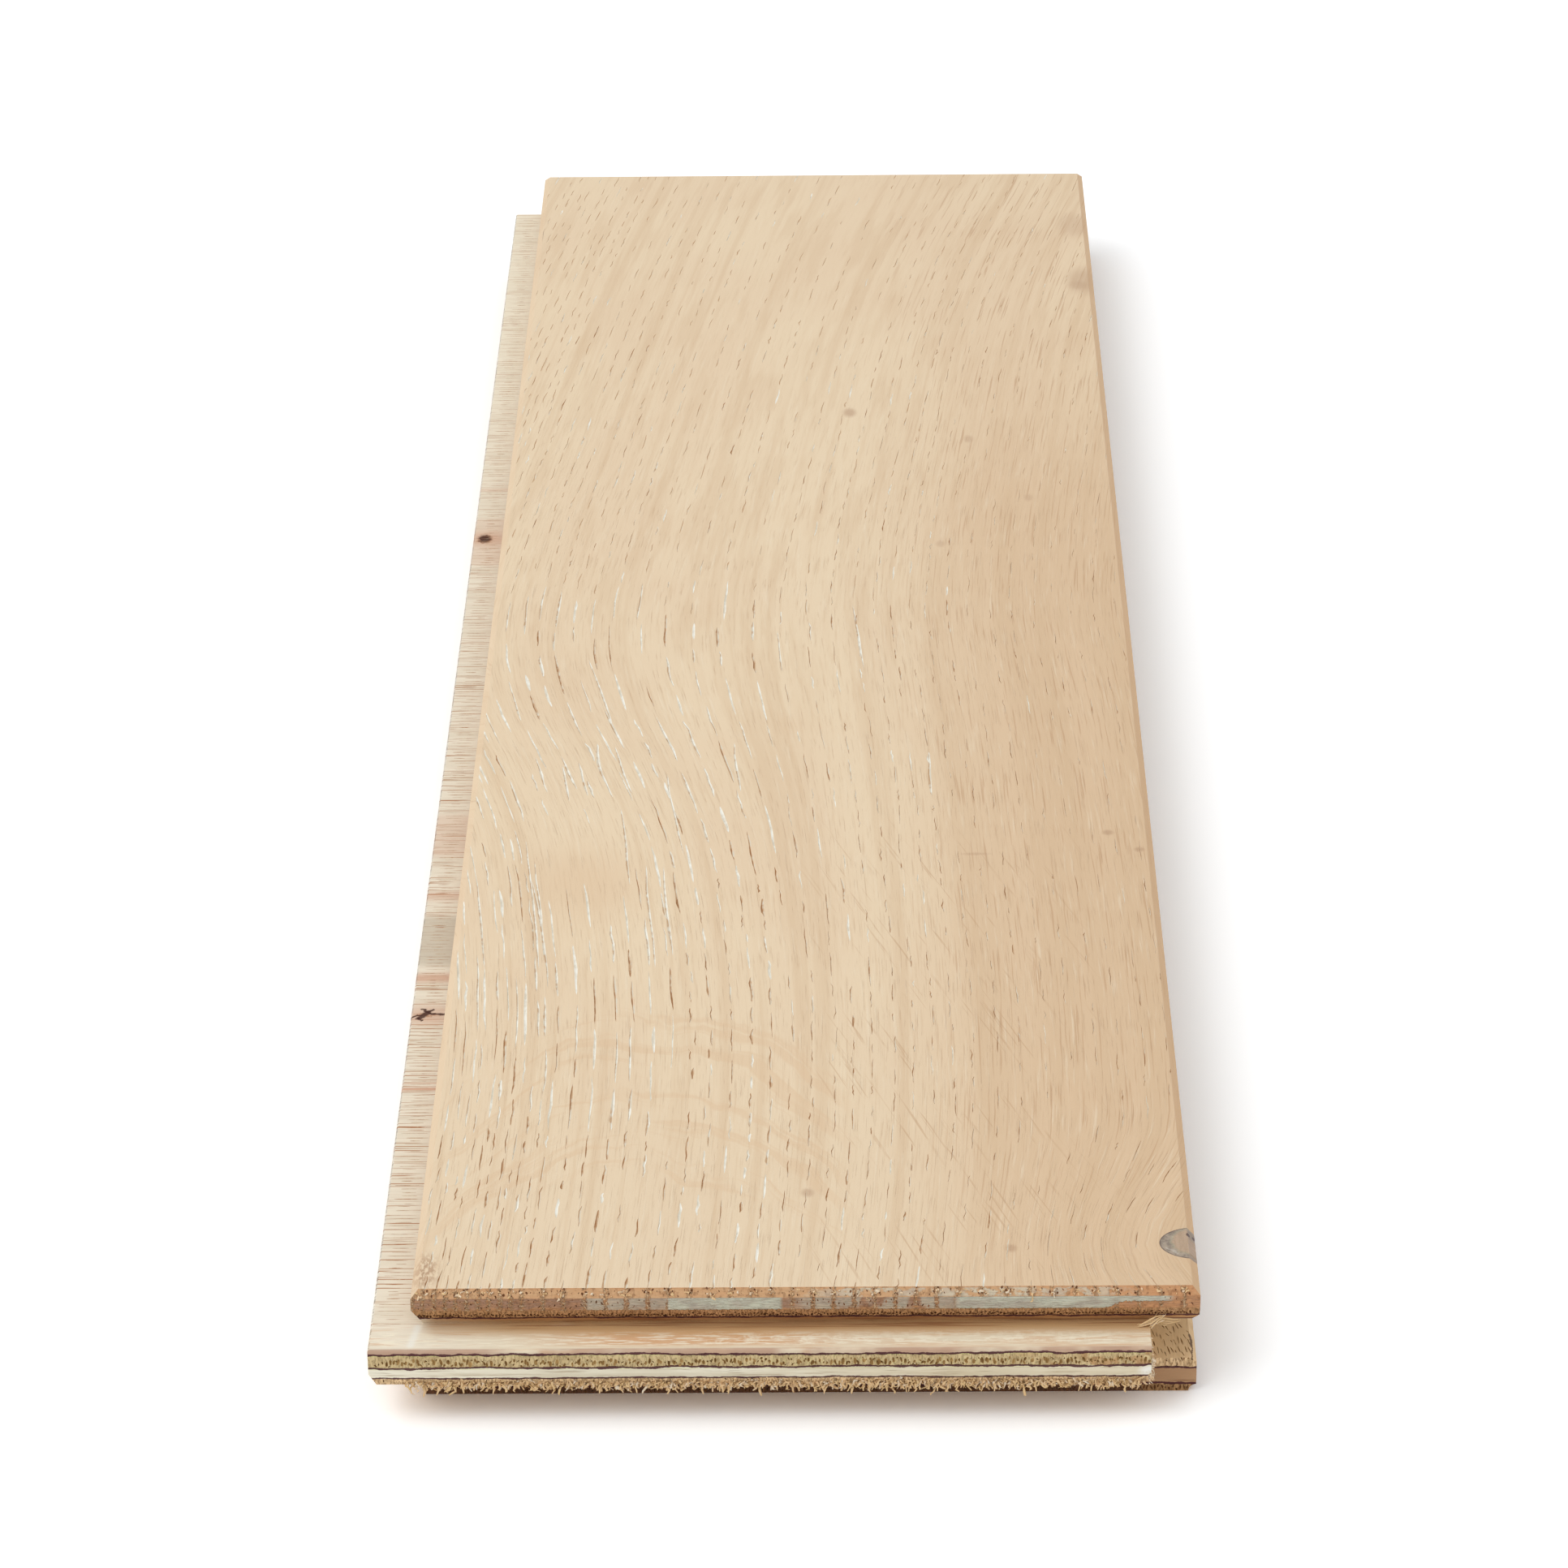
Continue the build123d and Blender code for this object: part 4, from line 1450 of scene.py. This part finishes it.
class PARQUET_OT_stage(bpy.types.Operator):
    """Floor, lights and the camera"""

    bl_idname = "parquet.stage"
    bl_label = "Stage"

    def execute(self, context):
        scene = context.scene
        colours = scene.parquet_colours
        bpy.ops.object.select_all(action="DESELECT")
        bpy.ops.mesh.primitive_plane_add(size=FLOOR_SIZE, location=(0, 0, 0))
        floor = context.active_object
        floor.name = "studio_floor"
        floor.data.materials.append(floor_material(colours))
        world = bpy.data.worlds.new("studio_light")
        scene.world = world
        world.use_nodes = True
        self.light_the_world(world.node_tree)
        bpy.ops.object.light_add(type="AREA", location=LAMP_PLACE)
        lamp = context.active_object
        lamp.name = "window_light"
        lamp.data.shape = "RECTANGLE"
        lamp.data.size = LAMP_SIZE
        lamp.data.size_y = LAMP_SIZE
        lamp.data.energy = LAMP_POWER
        lamp.rotation_euler = (-lamp.location).to_track_quat("-Z", "Y").to_euler()
        bpy.ops.object.camera_add()
        camera = context.active_object
        camera.name = "photo_camera"
        camera.data.sensor_width = SENSOR_WIDTH
        camera.data.lens = CAMERA_LENS
        camera.data.clip_start = 0.05
        camera.data.clip_end = 20
        tilt = (
            Matrix.Rotation(math.radians(CAMERA_TURN), 4, "Z")
            @ Matrix.Rotation(math.radians(90 - CAMERA_TILT), 4, "X")
            @ Matrix.Rotation(math.radians(CAMERA_ROLL), 4, "Z")
        )
        across, along, height = CAMERA_PLACE
        spot = Vector((across + FACE_CORNER.x, along + FACE_CORNER.y, height)) * MM
        camera.matrix_world = Matrix.Translation(spot) @ tilt
        scene.camera = camera
        scene.view_settings.view_transform = "Standard"
        return {"FINISHED"}

    def light_the_world(self, tree):
        """Even light from all round, and plain white where the camera sees past the floor."""
        sky = tree.nodes["Background"]
        sky.inputs["Color"].default_value = (1, 1, 1, 1)
        sky.inputs["Strength"].default_value = SKY_STRENGTH
        white = tree.nodes.new("ShaderNodeBackground")
        white.inputs["Color"].default_value = (1, 1, 1, 1)
        white.inputs["Strength"].default_value = 1.0
        rays = tree.nodes.new("ShaderNodeLightPath").outputs
        seen = rays["Is Camera Ray"]
        for other in ("Is Glossy Ray", "Is Transmission Ray"):
            either = tree.nodes.new("ShaderNodeMath")
            either.operation = "MAXIMUM"
            tree.links.new(seen, either.inputs[0])
            tree.links.new(rays[other], either.inputs[1])
            seen = either.outputs[0]
        mix = tree.nodes.new("ShaderNodeMixShader")
        tree.links.new(seen, mix.inputs[0])
        tree.links.new(sky.outputs[0], mix.inputs[1])
        tree.links.new(white.outputs[0], mix.inputs[2])
        tree.links.new(mix.outputs[0], tree.nodes["World Output"].inputs["Surface"])


STEPS = (
    PARQUET_OT_oak_layer,
    PARQUET_OT_knot_filler,
    PARQUET_OT_core_plies,
    PARQUET_OT_torn_fibres,
    PARQUET_OT_stage,
)


class PARQUET_PT_panel(bpy.types.Panel):
    """Sizes, colours and steps of the parquet block"""

    bl_label = "Parquet block"
    bl_idname = "PARQUET_PT_panel"
    bl_space_type = "VIEW_3D"
    bl_region_type = "UI"
    bl_category = "Parquet"

    def draw(self, context):
        for group in (context.scene.parquet_sizes, context.scene.parquet_colours):
            box = self.layout.box()
            for name in group.__annotations__:
                box.prop(group, name)
        for step in STEPS:
            self.layout.operator(step.bl_idname)


CLASSES = (ParquetColours, ParquetSizes, *STEPS, PARQUET_PT_panel)


def register():
    for item in CLASSES:
        bpy.utils.register_class(item)
    bpy.types.Scene.parquet_colours = bpy.props.PointerProperty(type=ParquetColours)
    bpy.types.Scene.parquet_sizes = bpy.props.PointerProperty(type=ParquetSizes)


def unregister():
    del bpy.types.Scene.parquet_sizes
    del bpy.types.Scene.parquet_colours
    for item in reversed(CLASSES):
        bpy.utils.unregister_class(item)


def main():
    register()
    bpy.ops.parquet.oak_layer()
    bpy.ops.parquet.knot_filler()
    bpy.ops.parquet.core_plies()
    bpy.ops.parquet.torn_fibres()
    bpy.ops.parquet.stage()
    bpy.context.view_layer.update()


if __name__ == "__main__":
    main()
